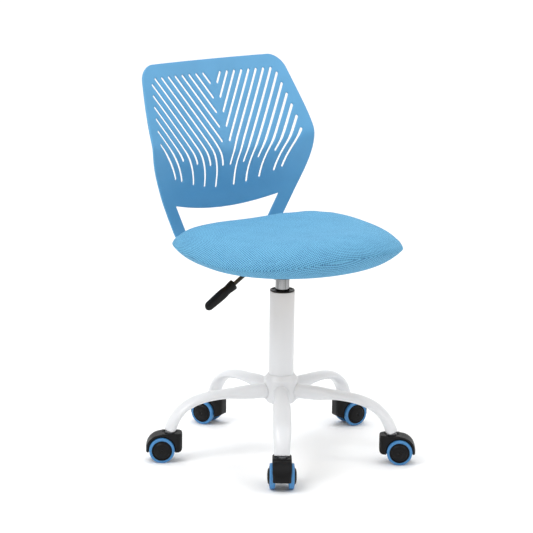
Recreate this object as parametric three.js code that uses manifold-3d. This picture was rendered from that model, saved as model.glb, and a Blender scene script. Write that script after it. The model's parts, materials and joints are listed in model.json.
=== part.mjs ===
// Swivel office chair: five-leg steel base on twin-wheel casters, gas lift, mesh seat and slotted back.
// Millimetres, +Z up, the sitter faces -Y. Each physical piece is one named mesh.
import * as THREE from 'three';
import { mergeVertices } from 'three/addons/utils/BufferGeometryUtils.js';
import Module from 'manifold-3d';

const wasm = await Module();
wasm.setup();

// ---------- driving dimensions, mm and degrees ----------
const gap = 0.3;                 // between pieces that touch
const running = 0.6;             // between pieces that turn or slide on each other

// casters
const wheelDia = 50;
const treadDepth = 5.2;          // radial depth of the soft tread
const treadWidth = 10.5;
const treadChamfer = 2;
const wheelSpacing = 26;         // clear space between the two treads of a caster
const capRise = 4.8;             // how far a wheel's domed cap stands out of its tread
const capShoulder = 0.7;         // where the dome turns flatter, as a share of its radius
const capShoulderRise = 0.75;    // and of its rise
const axleDia = 8;
const casterTrail = 16;          // axle behind the swivel stem
const housingWidth = 37;
const hoodWall = 5;              // hood outside its wheel pocket
const hoodDrop = 5;              // hood and block below the axle
const hoodCorner = 8;            // corners of the housing seen from above, at the hood
const blockStep = 1.3;           // top of the block above the hood
const blockWall = 18.5;          // block behind the stem
const blockRound = 7;
const blockCorner = 13;          // corners seen from above, at the block
const wheelClearance = 1.2;      // round a wheel inside its hood
const saddleDepth = 2;           // dished top of the block, round the stem
const saddleRadius = 16;
const stemDia = 11;
const stemPinDia = 10;           // upper end of the stem, in the leg
const stemPinLength = 18;
const stemLength = 25;           // lower end of the stem, in the housing
const stemFlangeDia = 20;
const stemFlangeThickness = 4.7;
const casterTurns = [0, 16, -25, 25, -16];   // swivel angle of each caster at rest, degrees

// base
const legCount = 5;
const firstLegAngle = -36;       // from straight ahead, degrees
const stemCircle = 229;          // radius that the caster stems stand on
const legTube = 28.4;            // round tube at the hub
const legWall = 1.8;
const legFlatWidth = 35;         // the same tube pressed oval where it bends
const legFlatHeight = 17.6;
const legEndWidth = 30;
const legEndHeight = 22;
const legAxisHeight = 126;
const legBendStart = 100;        // radius where a leg starts to curve down
const legPressStart = 50;        // the tube goes from round to oval between these lengths from the hub
const legPressEnd = 115;
const legSwellStart = 60;        // and to its end section between these lengths from its tip
const legSwellEnd = 20;
const legBendPull = 0.87;        // how late a leg turns down, near 1 is at its end
const legTipReach = 4;           // slope of the open end, cut level over the caster
const legTipDrop = 14;
const legSolidEnd = 44;          // closed end of the tube that holds the stem
const hubDia = 68;
const hubHeight = 57;
const hubChamfer = 9;
const hubRing = 2;               // flat end of the hub round the column
const hubLift = 1;               // hub above the column's lower end

// column and gas lift
const columnDia = 50;
const columnWall = 2;
const columnBottom = 101;
const columnTop = 328.3;
const columnFloor = 3;
const bushLength = 72;
const bushRim = 2.4;
const bushSetback = 0.6;         // rim inside the column's outer face
const bushChamfer = 1.4;
const rodDia = 10;
const rodCollarDia = 18;
const rodCollarThickness = 2.5;
const bearingDia = 24;
const bearingHeight = 6;
const clipDia = 17;
const clipThickness = 1.5;
const clipGrooveDepth = 1;
const clipMouth = 28;            // half-angle of the clip's open side, degrees
const rodTail = 4;               // rod below the clip
const cylinderDia = 28;
const cylinderWall = 3;
const cylinderBottom = 165;      // at the height drawn here
const cylinderEndCap = 5;
const cylinderHead = 20;         // solid top of the cylinder
const pistonHeight = 12;
const liftUp = 100;              // travel of the seat above the height drawn here
const liftSpare = 4;             // piston above the cylinder's end cap at full height
const buttonDia = 8;
const buttonLength = 13.7;
const buttonStand = 4.7;         // button above the cylinder
const buttonTravel = 4.2;

// seat plate and lever
const plateWidth = 150;
const plateDepth = 180;
const plateThickness = 3;
const wellWidth = 86;
const wellDepth = 64;
const wellHeight = 33.2;
const cylinderStand = 4;         // cylinder top above the floor of the well
const socketDia = 44;
const socketLength = 7;
const leverRodDia = 8;
const leverPivotReach = 28;      // pivot pin from the column axis, towards the grip
const leverPinDia = 5;
const leverBossDia = 13;
const leverInnerReach = 5;       // rod past the column axis
const leverSlope = 31.2;
const leverKnee = 83;            // where the rod turns down, from the column axis
const leverKneeRound = 14;
const leverTip = 184;            // end of the grip, from the column axis
const gripLength = 78;
const gripWidth = 21;
const gripThickness = 14;
const gripBore = 28;
const gripTipShare = 0.14;       // rounded end, as a share of the grip's length
const gripWaist = 0.13;          // how much narrower the grip is at its waist
const plateBoltInset = 12;
const boltDia = 6;
const boltHeadDia = 12;
const boltHeadHeight = 3.5;
const boltHeadChamfer = 1.2;
const boltBite = 9;              // shank inside the seat board

// seat
const boardBottom = 395.5;
const boardThickness = 12;
const boardShare = 0.727;        // board outline as a share of the cushion's
const seatWidth = 439;
const seatDepth = 404;
const seatCentreY = -28;
const seatFrontPower = 2.12;     // roundness of the front outline, 2 is an ellipse
const seatRearPower = 2.7;
const rimHeight = 411.5;         // cushion edge at the middle of the rear
const rimFrontRise = 24;
const rimFrontCornerDrop = 6.5;
const rimRearCornerRise = 25.8;
const crownHeight = 45;          // top of the cushion above its edge
const crownFlatness = 6.15;      // a higher power keeps the top flat further out
const crownRounding = 0.79;      // a lower power makes the edge fuller
const undersideLift = 0.3;       // cushion underside above the board's underside
const undersideMargin = 0.02;    // flat underside past the board, as a share of the outline

// backrest, one moulding with two uprights and feet
const backTop = 756;
const backThickness = 4;
const backCornerRadius = 28;
const backWidestHeight = 584.6;  // where the two side tapers meet
const backTaperHalfWidth = 220.8;
const backTaperUp = 0.278;       // side slope above the widest part
const backTaperDown = 0.531;
const backSideRound = 24.4;
const backKneeHeight = 577;      // crease of the back, at the middle
const backKneeRise = 29;         // crease higher at the sides
const backKneeReach = 184.4;     // front face behind the column axis, at the crease
const backKneeCup = 25.6;        // sides of the back further forward
const backUpperSlope = 0.4;
const backUpperSlopeGain = 0.16;
const backLowerSlope = 0.166;
const backLowerSlopeLoss = 0.116;
const backKneeSoftness = 3;
const backUprightTop = 495;      // straight up and down below this height
const backCupHalfWidth = 195;    // half-width that the cup is measured at
const footBend = 32;             // radius of the bend under the seat
const footLength = 92;
const windowTop = 479.5;         // corners of the opening under the back
const windowSag = 17;            // its upper edge hangs lower in the middle
const windowTopHalf = 127;
const windowTaper = 0.5;         // inner edges of the uprights lean in towards the feet
const footScrewY = 80;

// slots of the backrest
const slotCount = 14;            // on each side
const slotWidth = 5;
const slotFirst = 20.3;          // first slot from the middle, at the top
const slotPitch = 17.3;
const slotSlope = 0.62;
const slotTop = 728.5;
const slotSideBorder = 25.7;
const slotMiddleBorder = 9;
const slotTurnHeight = 628.5;    // where the first slot would start to turn upright
const slotTurnStep = 4.3;
const slotTurnLength = 77.5;
const slotStraightCount = 5;     // slots that run out at the middle before they turn
const slotShortEnd = 550;
const slotLongEnd = 506;
const slotEndBow = 0.0019;       // slot ends lie on a curve that rises to the sides
const slotTip = 0.4;             // flat end of a slot, as a share of its width
const slotLeastStep = 4;         // between two points of a slot's middle line
const slotSearch = 1;            // step in finding where a slot meets the side border
const notchHalf = 3;             // notch between the two middle slots
const notchDepth = 10;

// facets
const roundSides = 14;
const smallSides = 8;
const columnSides = 20;
const outlineSides = 32;
const pocketSides = 18;
const barSides = 12;             // legs and grip
const legRings = 11;
const legInnerRings = 6;
const leverRings = 14;
const gripRings = 12;
const profileSegments = 6;       // a round corner of a side view
const planSegments = 4;          // and of one seen from above
const clipSegments = 12;
const backColumns = 8;
const backRows = { foot: 1, bend: 4, panel: 11, corner: 3 };
const cushionRings = [0.985, 0.95, 0.9, 0.82, 0.7, 0.4];   // shares of the seat's outline

const past = 1;                  // how far a cutter runs beyond the face it opens

const deg = Math.PI / 180;
const material = (color, roughness, metalness = 0) =>
  new THREE.MeshStandardMaterial({ color, roughness, metalness });
const whiteSteel = material(0xe4e5e7, 0.35, 0.1);
const blackNylon = material(0x232326, 0.5);
const bluePolyurethane = material(0x4e96ce, 0.45);
const blueBack = material(0x5ba3da, 0.4);
const blueMesh = material(0x5fb0e0, 0.85);
const brightSteel = material(0xc9ccd0, 0.2, 1);
const zincSteel = material(0x9a9c9f, 0.4, 1);
const blackSteel = material(0x1e1e20, 0.45, 0.6);
const plywood = material(0xb99a6b, 0.7);
const blackAcetal = material(0x1b1b1d, 0.55);

// ---------- solids ----------
function toSolid(geometry) {
  const bare = geometry.clone();
  bare.deleteAttribute('normal');
  bare.deleteAttribute('uv');
  const merged = mergeVertices(bare, 1e-4);
  const index = merged.index.array;
  const kept = [];
  for (let i = 0; i < index.length; i += 3) {
    const [a, b, c] = [index[i], index[i + 1], index[i + 2]];
    if (a !== b && b !== c && c !== a) kept.push(a, b, c);
  }
  const vertProperties = new Float32Array(merged.attributes.position.array);
  return new wasm.Manifold(new wasm.Mesh({ numProp: 3, vertProperties, triVerts: new Uint32Array(kept) }));
}

function toGeometry(solid) {
  const mesh = solid.getMesh();
  const geometry = new THREE.BufferGeometry();
  geometry.setAttribute('position', new THREE.BufferAttribute(new Float32Array(mesh.vertProperties), 3));
  geometry.setIndex(new THREE.BufferAttribute(new Uint32Array(mesh.triVerts), 1));
  return geometry;
}

const cut = (body, ...tools) => toGeometry(
  tools.reduce((left, tool) => left.subtract(toSolid(tool)), toSolid(body)));
const join = (body, ...others) => toGeometry(
  others.reduce((sum, other) => sum.add(toSolid(other)), toSolid(body)));
const overlapOf = (a, b) => toGeometry(toSolid(a).intersect(toSolid(b)));

// A profile of [radius, height] points turned about Z; a profile off the axis is closed into a ring.
function turned(profile, sides = roundSides) {
  const points = profile.map(([r, z]) => new THREE.Vector2(r, z));
  if (profile[0][0] > 0) points.push(points[0].clone());
  const area = THREE.ShapeUtils.area(points);
  if (area < 0) points.reverse();
  return new THREE.LatheGeometry(points, sides).rotateX(90 * deg);
}

const drum = (diameter, bottom, top, sides = roundSides) =>
  turned([[0, bottom], [diameter / 2, bottom], [diameter / 2, top], [0, top]], sides);

// A bore whose flats clear a round piece at every angle that the piece can turn to.
const turningBore = (diameter, bottom, top) =>
  drum((diameter + 2 * gap) / Math.cos(180 * deg / smallSides), bottom, top, smallSides);

const block = (x0, x1, y0, y1, z0, z1) =>
  new THREE.BoxGeometry(x1 - x0, y1 - y0, z1 - z0)
    .translate((x0 + x1) / 2, (y0 + y1) / 2, (z0 + z1) / 2);

// A shape drawn in X and Z, given thickness from y0 to y1.
const slabAlongY = (shape, y0, y1) =>
  new THREE.ExtrudeGeometry(shape, { depth: y1 - y0, bevelEnabled: false, curveSegments: profileSegments })
    .rotateX(90 * deg).translate(0, y1, 0);

// Moves every vertex of a closed geometry to the place that a function gives.
function reshape(geometry, place) {
  const position = geometry.attributes.position;
  for (let i = 0; i < position.count; i += 1) {
    const point = place(position.getX(i), position.getY(i), position.getZ(i));
    position.setXYZ(i, point.x, point.y, point.z);
  }
  return geometry;
}

const smooth = (x, from, to) => THREE.MathUtils.smoothstep(x, from, to);
const mix = THREE.MathUtils.lerp;

// Two straight lines met by a soft corner: the larger of a and b, or the smaller, rounded by r.
const softMax = (a, b, r) => (a + b) / 2 + Math.hypot((a - b) / 2, r);
const softMin = (a, b, r) => (a + b) / 2 - Math.hypot((a - b) / 2, r);

// A tube whose oval section changes along a curve in the XZ plane, over the first share of the curve.
function ovalTube(curve, halfWidth, halfHeight, sides, rings, share = 1) {
  const bar = new THREE.CylinderGeometry(1, 1, 1, sides, rings).rotateX(90 * deg);
  return reshape(bar, (x, y, z) => {
    const t = (z + 0.5) * share;
    const middle = curve.getPointAt(t);
    const along = curve.getTangentAt(t);
    const side = x * halfWidth(t);
    const up = y * halfHeight(t);
    return new THREE.Vector3(middle.x + up * along.z, -side, middle.z - up * along.x);
  });
}

const chair = new THREE.Group();
function piece(name, geometry, finish, parent = chair) {
  const mesh = new THREE.Mesh(geometry, finish);
  mesh.name = name;
  parent.add(mesh);
  return mesh;
}

// ---------- heights that follow from the driving dimensions ----------
const wheelRadius = wheelDia / 2;
const hoodRadius = wheelRadius + wheelClearance + hoodWall;
const blockTop = wheelRadius + hoodRadius + blockStep;
const blockBack = -(stemDia / 2 + blockWall);
const saddleFloor = blockTop - saddleDepth;
const legEnd = saddleFloor + stemFlangeThickness + 2 * gap;
const hubBottom = columnBottom + hubLift;
const boardTop = boardBottom + boardThickness;
const plateTop = boardBottom - gap;
const wellFloor = plateTop - wellHeight + plateThickness;
const socketBottom = plateTop - wellHeight - socketLength;
const cylinderTop = wellFloor + cylinderStand;
const leverHeight = cylinderTop + buttonStand + gap + leverRodDia / 2;
const bearingBottom = columnBottom + columnFloor + gap;
const collarBottom = bearingBottom + bearingHeight + gap;
const pistonBottom = cylinderBottom + liftUp + cylinderEndCap + liftSpare;

// ---------- casters ----------
// Side view of a housing: a round hood over the wheels, run into an upright block round the stem.
function casterProfile() {
  const shape = new THREE.Shape();
  const bottom = wheelRadius - hoodDrop;
  const start = Math.asin(-hoodDrop / hoodRadius);
  shape.absarc(casterTrail, wheelRadius, hoodRadius, start, 90 * deg, false);
  shape.lineTo(saddleRadius, blockTop);
  shape.lineTo(blockBack + blockRound / 2, blockTop);
  shape.absarc(blockBack + blockRound / 2, blockTop - blockRound / 2, blockRound / 2,
    90 * deg, 180 * deg, false);
  shape.absarc(blockBack + blockRound, bottom + blockRound, blockRound, 180 * deg, 270 * deg, false);
  return shape;
}

// The same housing seen from above: a strip with round corners.
function casterPlan() {
  const half = housingWidth / 2;
  const front = casterTrail + hoodRadius;
  const corners = [
    [blockBack + blockCorner, -half + blockCorner, blockCorner, 180],
    [front - hoodCorner, -half + hoodCorner, hoodCorner, 270],
    [front - hoodCorner, half - hoodCorner, hoodCorner, 0],
    [blockBack + blockCorner, half - blockCorner, blockCorner, 90]];
  const shape = new THREE.Shape();
  for (const [x, y, radius, from] of corners) {
    shape.absarc(x, y, radius, from * deg, (from + 90) * deg, false);
  }
  return shape;
}

const alongY = (geometry) => geometry.rotateX(-90 * deg);
const atAxle = (geometry) => geometry.translate(casterTrail, 0, wheelRadius);

function casterHousing() {
  const half = housingWidth / 2;
  const pocket = () => drum(
    wheelDia + 2 * wheelClearance, wheelSpacing / 2 - running, half + past, pocketSides);
  const saddle = turned([
    [0, saddleFloor], [saddleRadius - saddleDepth, saddleFloor],
    [saddleRadius + past, blockTop + past], [0, blockTop + past]]);
  const body = overlapOf(
    slabAlongY(casterProfile(), -half, half),
    new THREE.ExtrudeGeometry(casterPlan(),
      { depth: blockTop + past, bevelEnabled: false, curveSegments: planSegments }));
  return cut(
    body,
    atAxle(alongY(pocket())),
    atAxle(alongY(pocket().rotateX(180 * deg))),
    saddle,
    turningBore(stemDia, saddleFloor - stemLength - gap, saddleFloor + past),
    atAxle(alongY(drum(axleDia + 2 * gap, -half, half, smallSides))));
}

const casterStem = () => turned([
  [0, saddleFloor - stemLength], [stemDia / 2, saddleFloor - stemLength],
  [stemDia / 2, saddleFloor + gap], [stemFlangeDia / 2, saddleFloor + gap],
  [stemFlangeDia / 2, legEnd - gap], [stemPinDia / 2, legEnd - gap],
  [stemPinDia / 2, legEnd + stemPinLength], [0, legEnd + stemPinLength]], smallSides);

// A wheel stands on the +Y end of the axle: core, blind axle bore and domed cap.
const coreRadius = wheelRadius - treadDepth - gap;
const treadInside = wheelSpacing / 2;
const treadOutside = treadInside + treadWidth;
const wheelCore = () => alongY(turned([
  [0, treadOutside], [axleDia / 2 + gap, treadOutside],
  [axleDia / 2 + gap, treadInside + gap], [coreRadius, treadInside + gap],
  [coreRadius, treadOutside], [coreRadius * capShoulder, treadOutside + capRise * capShoulderRise],
  [0, treadOutside + capRise]]));
const wheelTread = () => alongY(turned([
  [coreRadius + gap, treadInside], [wheelRadius - treadChamfer / 2, treadInside],
  [wheelRadius, treadInside + treadChamfer], [wheelRadius, treadOutside - treadChamfer],
  [wheelRadius - treadChamfer / 2, treadOutside], [coreRadius + gap, treadOutside]]));

function addCaster(number, angle) {
  const place = new THREE.Group();
  place.rotation.z = (angle - 90) * deg;
  place.position.set(stemCircle * Math.sin(angle * deg), -stemCircle * Math.cos(angle * deg), 0);
  chair.add(place);
  piece(`caster_stem_${number}`, casterStem(), zincSteel, place);
  const swivel = new THREE.Group();
  swivel.rotation.z = casterTurns[number - 1] * deg;
  place.add(swivel);
  piece(`caster_housing_${number}`, casterHousing(), blackNylon, swivel);
  const axleHalf = treadOutside - gap;
  piece(`caster_axle_${number}`, atAxle(alongY(drum(axleDia, -axleHalf, axleHalf, smallSides))),
    zincSteel, swivel);
  for (const [side, turn] of [['left', 0], ['right', 180]]) {
    const wheel = new THREE.Group();
    wheel.position.set(casterTrail, 0, wheelRadius);
    wheel.rotation.z = turn * deg;
    swivel.add(wheel);
    piece(`wheel_${number}_${side}`, wheelCore(), blackNylon, wheel);
    piece(`tread_${number}_${side}`, wheelTread(), bluePolyurethane, wheel);
  }
}

// ---------- base ----------
const hubShoulder = columnDia / 2 + hubRing;
const hubBore = columnDia / 2 + gap;
const hubTop = hubBottom + hubHeight;
const hubGeometry = turned([
  [hubBore, hubBottom], [hubShoulder, hubBottom], [hubDia / 2, hubBottom + hubChamfer],
  [hubDia / 2, hubTop - hubChamfer], [hubShoulder, hubTop], [hubBore, hubTop]], columnSides);

// The middle line of a leg: straight out of the hub, then bent down steeply to the caster.
function legCurve() {
  const start = new THREE.Vector3(hubBore, 0, legAxisHeight);
  const bend = new THREE.Vector3(legBendStart, 0, legAxisHeight);
  const end = new THREE.Vector3(stemCircle, 0, legEnd);
  const pull = new THREE.Vector3((end.x - bend.x) * legBendPull, 0, (end.z - bend.z) * (1 - legBendPull));
  const curve = new THREE.CurvePath();
  curve.add(new THREE.LineCurve3(start, bend));
  curve.add(new THREE.CubicBezierCurve3(bend,
    new THREE.Vector3((bend.x + end.x) / 2, 0, bend.z),
    new THREE.Vector3(bend.x + pull.x, 0, bend.z + pull.z), end));
  curve.add(new THREE.LineCurve3(end, new THREE.Vector3(end.x + legTipReach, 0, end.z - legTipDrop)));
  return curve;
}

function legGeometry() {
  const curve = legCurve();
  const length = curve.getLength();
  const flat = (t) => smooth(t * length, legPressStart, legPressEnd);
  const swell = (t) => smooth(t * length, length - legSwellStart, length - legSwellEnd);
  const size = (round, pressed, end) => (t) =>
    mix(mix(round, pressed, flat(t)), end, swell(t)) / 2;
  const halfWidth = size(legTube, legFlatWidth, legEndWidth);
  const halfHeight = size(legTube, legFlatHeight, legEndHeight);
  const outside = ovalTube(curve, halfWidth, halfHeight, barSides, legRings);
  const hollow = 1 - legSolidEnd / length;
  const inside = ovalTube(curve, (t) => halfWidth(t) - legWall, (t) => halfHeight(t) - legWall,
    smallSides, legInnerRings, hollow).translate(-past, 0, 0);
  const hubSeat = drum(hubDia + 2 * gap, hubBottom - past, hubTop + past, columnSides);
  const below = block(stemCircle - legSwellStart, stemCircle + legSwellStart,
    -legEndWidth, legEndWidth, 0, legEnd);
  const pin = drum(stemPinDia + 2 * gap, legEnd - past, legEnd + stemPinLength + gap, smallSides)
    .translate(stemCircle, 0, 0);
  return cut(outside, inside, hubSeat, below, pin);
}

// ---------- column and gas lift ----------
const tubeInside = columnDia / 2 - columnWall;
const rodHole = rodDia / 2 + gap;
const columnGeometry = turned([
  [columnDia / 2, columnBottom], [columnDia / 2, columnTop], [tubeInside, columnTop],
  [tubeInside, columnBottom + columnFloor], [rodHole, columnBottom + columnFloor],
  [rodHole, columnBottom]], columnSides);
const bushTop = columnTop + gap + bushRim;
const bushRadius = columnDia / 2 - bushSetback;
const bushBore = cylinderDia / 2 + gap;
const bushGeometry = turned([
  [bushBore, columnTop - bushLength], [tubeInside - gap, columnTop - bushLength],
  [tubeInside - gap, columnTop + gap], [bushRadius, columnTop + gap],
  [bushRadius, bushTop - bushChamfer], [bushRadius - bushChamfer, bushTop],
  [bushBore + bushChamfer, bushTop], [bushBore, bushTop - bushChamfer]], columnSides);
const bearingGeometry = turned([
  [rodHole, bearingBottom], [bearingDia / 2, bearingBottom],
  [bearingDia / 2, bearingBottom + bearingHeight], [rodHole, bearingBottom + bearingHeight]]);

const clipTop = columnBottom - gap;
const grooveRadius = rodDia / 2 - clipGrooveDepth;
const pistonRadius = cylinderDia / 2 - cylinderWall - gap;
const rodGeometry = turned([
  [0, clipTop - clipThickness - rodTail], [rodDia / 2, clipTop - clipThickness - rodTail],
  [rodDia / 2, clipTop - clipThickness - gap], [grooveRadius, clipTop - clipThickness - gap],
  [grooveRadius, clipTop + gap], [rodDia / 2, clipTop + gap],
  [rodDia / 2, collarBottom], [rodCollarDia / 2, collarBottom],
  [rodCollarDia / 2, collarBottom + rodCollarThickness], [rodDia / 2, collarBottom + rodCollarThickness],
  [rodDia / 2, pistonBottom], [pistonRadius, pistonBottom],
  [pistonRadius, pistonBottom + pistonHeight], [0, pistonBottom + pistonHeight]]);

// The clip is a ring with a mouth, so that it can be pushed onto the rod from the side.
function clipGeometry() {
  const mouth = clipMouth * deg;
  const shape = new THREE.Shape();
  shape.absarc(0, 0, clipDia / 2, mouth, 360 * deg - mouth, false);
  shape.absarc(0, 0, grooveRadius + gap, 360 * deg - mouth, mouth, true);
  return new THREE.ExtrudeGeometry(shape,
    { depth: clipThickness, bevelEnabled: false, curveSegments: clipSegments })
    .translate(0, 0, clipTop - clipThickness);
}

const cylinderRadius = cylinderDia / 2;
const buttonHole = cylinderTop + buttonStand - buttonLength - buttonTravel - gap;
const cylinderGeometry = turned([
  [0, cylinderTop - cylinderHead], [cylinderRadius - cylinderWall, cylinderTop - cylinderHead],
  [cylinderRadius - cylinderWall, cylinderBottom + cylinderEndCap],
  [rodHole, cylinderBottom + cylinderEndCap], [rodHole, cylinderBottom],
  [cylinderRadius, cylinderBottom], [cylinderRadius, cylinderTop],
  [buttonDia / 2 + gap, cylinderTop], [buttonDia / 2 + gap, buttonHole], [0, buttonHole]], columnSides);
const buttonGeometry = drum(buttonDia, cylinderTop + buttonStand - buttonLength,
  cylinderTop + buttonStand, smallSides);

// ---------- seat plate, lever ----------
const boltPlaces = [];
for (const x of [-1, 1]) {
  for (const y of [-1, 1]) {
    boltPlaces.push([x * (plateWidth / 2 - plateBoltInset), y * (plateDepth / 2 - plateBoltInset)]);
  }
}
const footScrewX = uprightInside(boardBottom) / 2 + backHalfWidth(boardBottom) / 2;
const footScrewPlaces = [[-footScrewX, footScrewY], [footScrewX, footScrewY]];
const footTop = boardBottom - gap;
const boltHole = ([x, y], z0, z1) => drum(boltDia + 2 * gap, z0, z1, smallSides).translate(x, y, 0);

function plateGeometry() {
  const [hx, hy] = [wellWidth / 2, wellDepth / 2];
  const wellBottom = plateTop - wellHeight;
  const body = join(
    block(-plateWidth / 2, plateWidth / 2, -plateDepth / 2, plateDepth / 2,
      plateTop - plateThickness, plateTop),
    block(-hx, hx, -hy, hy, wellBottom, plateTop - plateThickness / 2),
    drum(socketDia, socketBottom, wellBottom + past, columnSides));
  const wall = plateThickness;
  const slotHalf = leverRodDia / 2 + running;
  return cut(body,
    block(-hx + wall, hx - wall, -hy + wall, hy - wall, wellFloor, plateTop + past),
    drum(cylinderDia + 2 * gap, socketBottom - past, wellFloor + past, columnSides),
    block(-hx - past, -hx + wall + past, -slotHalf, slotHalf,
      leverHeight - leverRodDia / 2 - running, plateTop + past),
    alongY(drum(leverPinDia + 2 * gap, -hy - past, hy + past, smallSides))
      .translate(-leverPivotReach, 0, leverHeight),
    ...boltPlaces.map((place) => boltHole(place, plateTop - plateThickness - past, plateTop + past)));
}

// The lever's rod runs level out of the plate, then slopes down to the grip at the sitter's right.
const slopeX = Math.cos(leverSlope * deg);
const slopeZ = Math.sin(leverSlope * deg);
const onSlope = (distance) => new THREE.Vector3(
  -leverKnee - distance * slopeX, 0, leverHeight - distance * slopeZ);
const slopeLength = (leverTip - leverKnee) / slopeX;
const gripStart = slopeLength - gripLength;

function leverRodGeometry() {
  const corner = onSlope(0);
  const path = new THREE.CurvePath();
  const bendIn = new THREE.Vector3(-leverKnee + leverKneeRound, 0, leverHeight);
  path.add(new THREE.LineCurve3(new THREE.Vector3(leverInnerReach, 0, leverHeight), bendIn));
  path.add(new THREE.QuadraticBezierCurve3(bendIn, corner, onSlope(leverKneeRound)));
  path.add(new THREE.LineCurve3(onSlope(leverKneeRound), onSlope(gripStart + gripBore - gap)));
  const radius = () => leverRodDia / 2;
  const pinHalf = wellDepth / 2 - gap;
  return join(
    ovalTube(path, radius, radius, smallSides, leverRings),
    alongY(drum(leverBossDia, -leverRodDia / 2, leverRodDia / 2)).translate(-leverPivotReach, 0, leverHeight),
    alongY(drum(leverPinDia, -pinHalf, pinHalf, smallSides)).translate(-leverPivotReach, 0, leverHeight));
}

function leverGripGeometry() {
  const path = new THREE.LineCurve3(onSlope(gripStart), onSlope(slopeLength));
  const tip = (t) => Math.sqrt(Math.max(1 - Math.max((t - 1) / gripTipShare + 1, 0) ** 2, gripTipShare / 2));
  const waist = (t) => 1 - gripWaist * Math.cos(2 * Math.PI * t) ** 2;
  const body = ovalTube(path, (t) => (gripThickness / 2) * tip(t),
    (t) => (gripWidth / 2) * waist(t) * tip(t), barSides, gripRings);
  const radius = () => leverRodDia / 2 + gap;
  const bore = ovalTube(new THREE.LineCurve3(onSlope(gripStart - past), onSlope(gripStart + gripBore)),
    radius, radius, smallSides, 1);
  return cut(body, bore);
}

// A bolt from below: head under a sheet, shank up through it into the board.
const boltGeometry = (sheetBottom) => turned([
  [0, sheetBottom - gap - boltHeadHeight], [boltHeadDia / 2, sheetBottom - gap - boltHeadHeight],
  [boltHeadDia / 2, sheetBottom - gap - boltHeadChamfer],
  [boltHeadDia / 2 - boltHeadChamfer, sheetBottom - gap],
  [boltDia / 2, sheetBottom - gap], [boltDia / 2, boardBottom + boltBite],
  [0, boardBottom + boltBite]], smallSides);

// ---------- seat ----------
// Radius of the seat's outline at an angle, as a share of its half-width and half-depth.
function outlineShare(angle) {
  const power = Math.sin(angle) > 0 ? seatRearPower : seatFrontPower;
  return (Math.abs(Math.cos(angle)) ** power + Math.abs(Math.sin(angle)) ** power) ** (-1 / power);
}

function boardShape(margin) {
  const points = [];
  for (let i = 0; i < outlineSides; i += 1) {
    const angle = (i / outlineSides) * 360 * deg;
    const share = outlineShare(angle);
    points.push(new THREE.Vector2(
      (seatWidth / 2 * boardShare + margin) * share * Math.cos(angle),
      seatCentreY + (seatDepth / 2 * boardShare + margin) * share * Math.sin(angle)));
  }
  return new THREE.Shape(points);
}

const boardSlab = (margin, bottom, top) =>
  new THREE.ExtrudeGeometry(boardShape(margin), { depth: top - bottom, bevelEnabled: false })
    .translate(0, 0, bottom);

const boardGeometry = () => cut(
  boardSlab(0, boardBottom, boardTop),
  ...[...boltPlaces, ...footScrewPlaces].map(
    (place) => boltHole(place, boardBottom - past, boardBottom + boltBite + gap)));

// Height of the cushion's edge line, carried over the whole seat: lifted at the front and rear corners.
function rimAt(x, y) {
  const along = (y - seatCentreY) / (seatDepth / 2);
  const across = (x / (seatWidth / 2)) ** 2;
  const cornerRise = mix(-rimFrontCornerDrop, rimRearCornerRise,
    THREE.MathUtils.clamp((along + 1) / 2, 0, 1));
  return rimHeight + rimFrontRise * Math.min(along, 0) ** 2 + cornerRise * across;
}

function cushionGeometry() {
  const underside = boardBottom + undersideLift;
  const flatShare = boardShare + undersideMargin;
  const profile = [[0, -1], [flatShare, -1], [1, 0]];
  for (const share of cushionRings) {
    profile.push([share, (1 - share ** crownFlatness) ** crownRounding]);
  }
  profile.push([0, 1]);
  const body = reshape(turned(profile, outlineSides), (x, y, level) => {
    const angle = Math.atan2(y, x);
    const share = Math.hypot(x, y) * outlineShare(angle);
    const px = (seatWidth / 2) * share * Math.cos(angle);
    const py = seatCentreY + (seatDepth / 2) * share * Math.sin(angle);
    const rim = rimAt(px, py);
    const pz = level < 0 ? rim + (rim - underside) * level : rim + crownHeight * level;
    return new THREE.Vector3(px, py, pz);
  });
  return cut(body, boardSlab(gap, boardBottom, boardTop + gap));
}

// ---------- backrest ----------
function backHalfWidth(z) {
  const above = backTaperHalfWidth - backTaperUp * (z - backWidestHeight);
  const below = backTaperHalfWidth + backTaperDown * (z - backWidestHeight);
  const corner = Math.max(z - (backTop - backCornerRadius), 0);
  const rounding = backCornerRadius - Math.sqrt(Math.max(backCornerRadius ** 2 - corner ** 2, 0));
  return softMin(above, below, backSideRound) - rounding;
}

// Front face of the backrest: two slopes that meet in a crease, which rises to the sides.
function backFront(x, z) {
  const q = (x / backCupHalfWidth) ** 2;
  const height = softMax(z, backUprightTop, backKneeSoftness) - (backKneeHeight + backKneeRise * q);
  const upper = (backUpperSlope + backUpperSlopeGain * q) * height;
  const lower = (backLowerSlopeLoss * q - backLowerSlope) * height;
  return backKneeReach - backKneeCup * q + softMax(upper, lower, backKneeSoftness);
}

function uprightInside(z) {
  return windowTopHalf - windowTaper * (windowTop - z);
}

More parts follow.
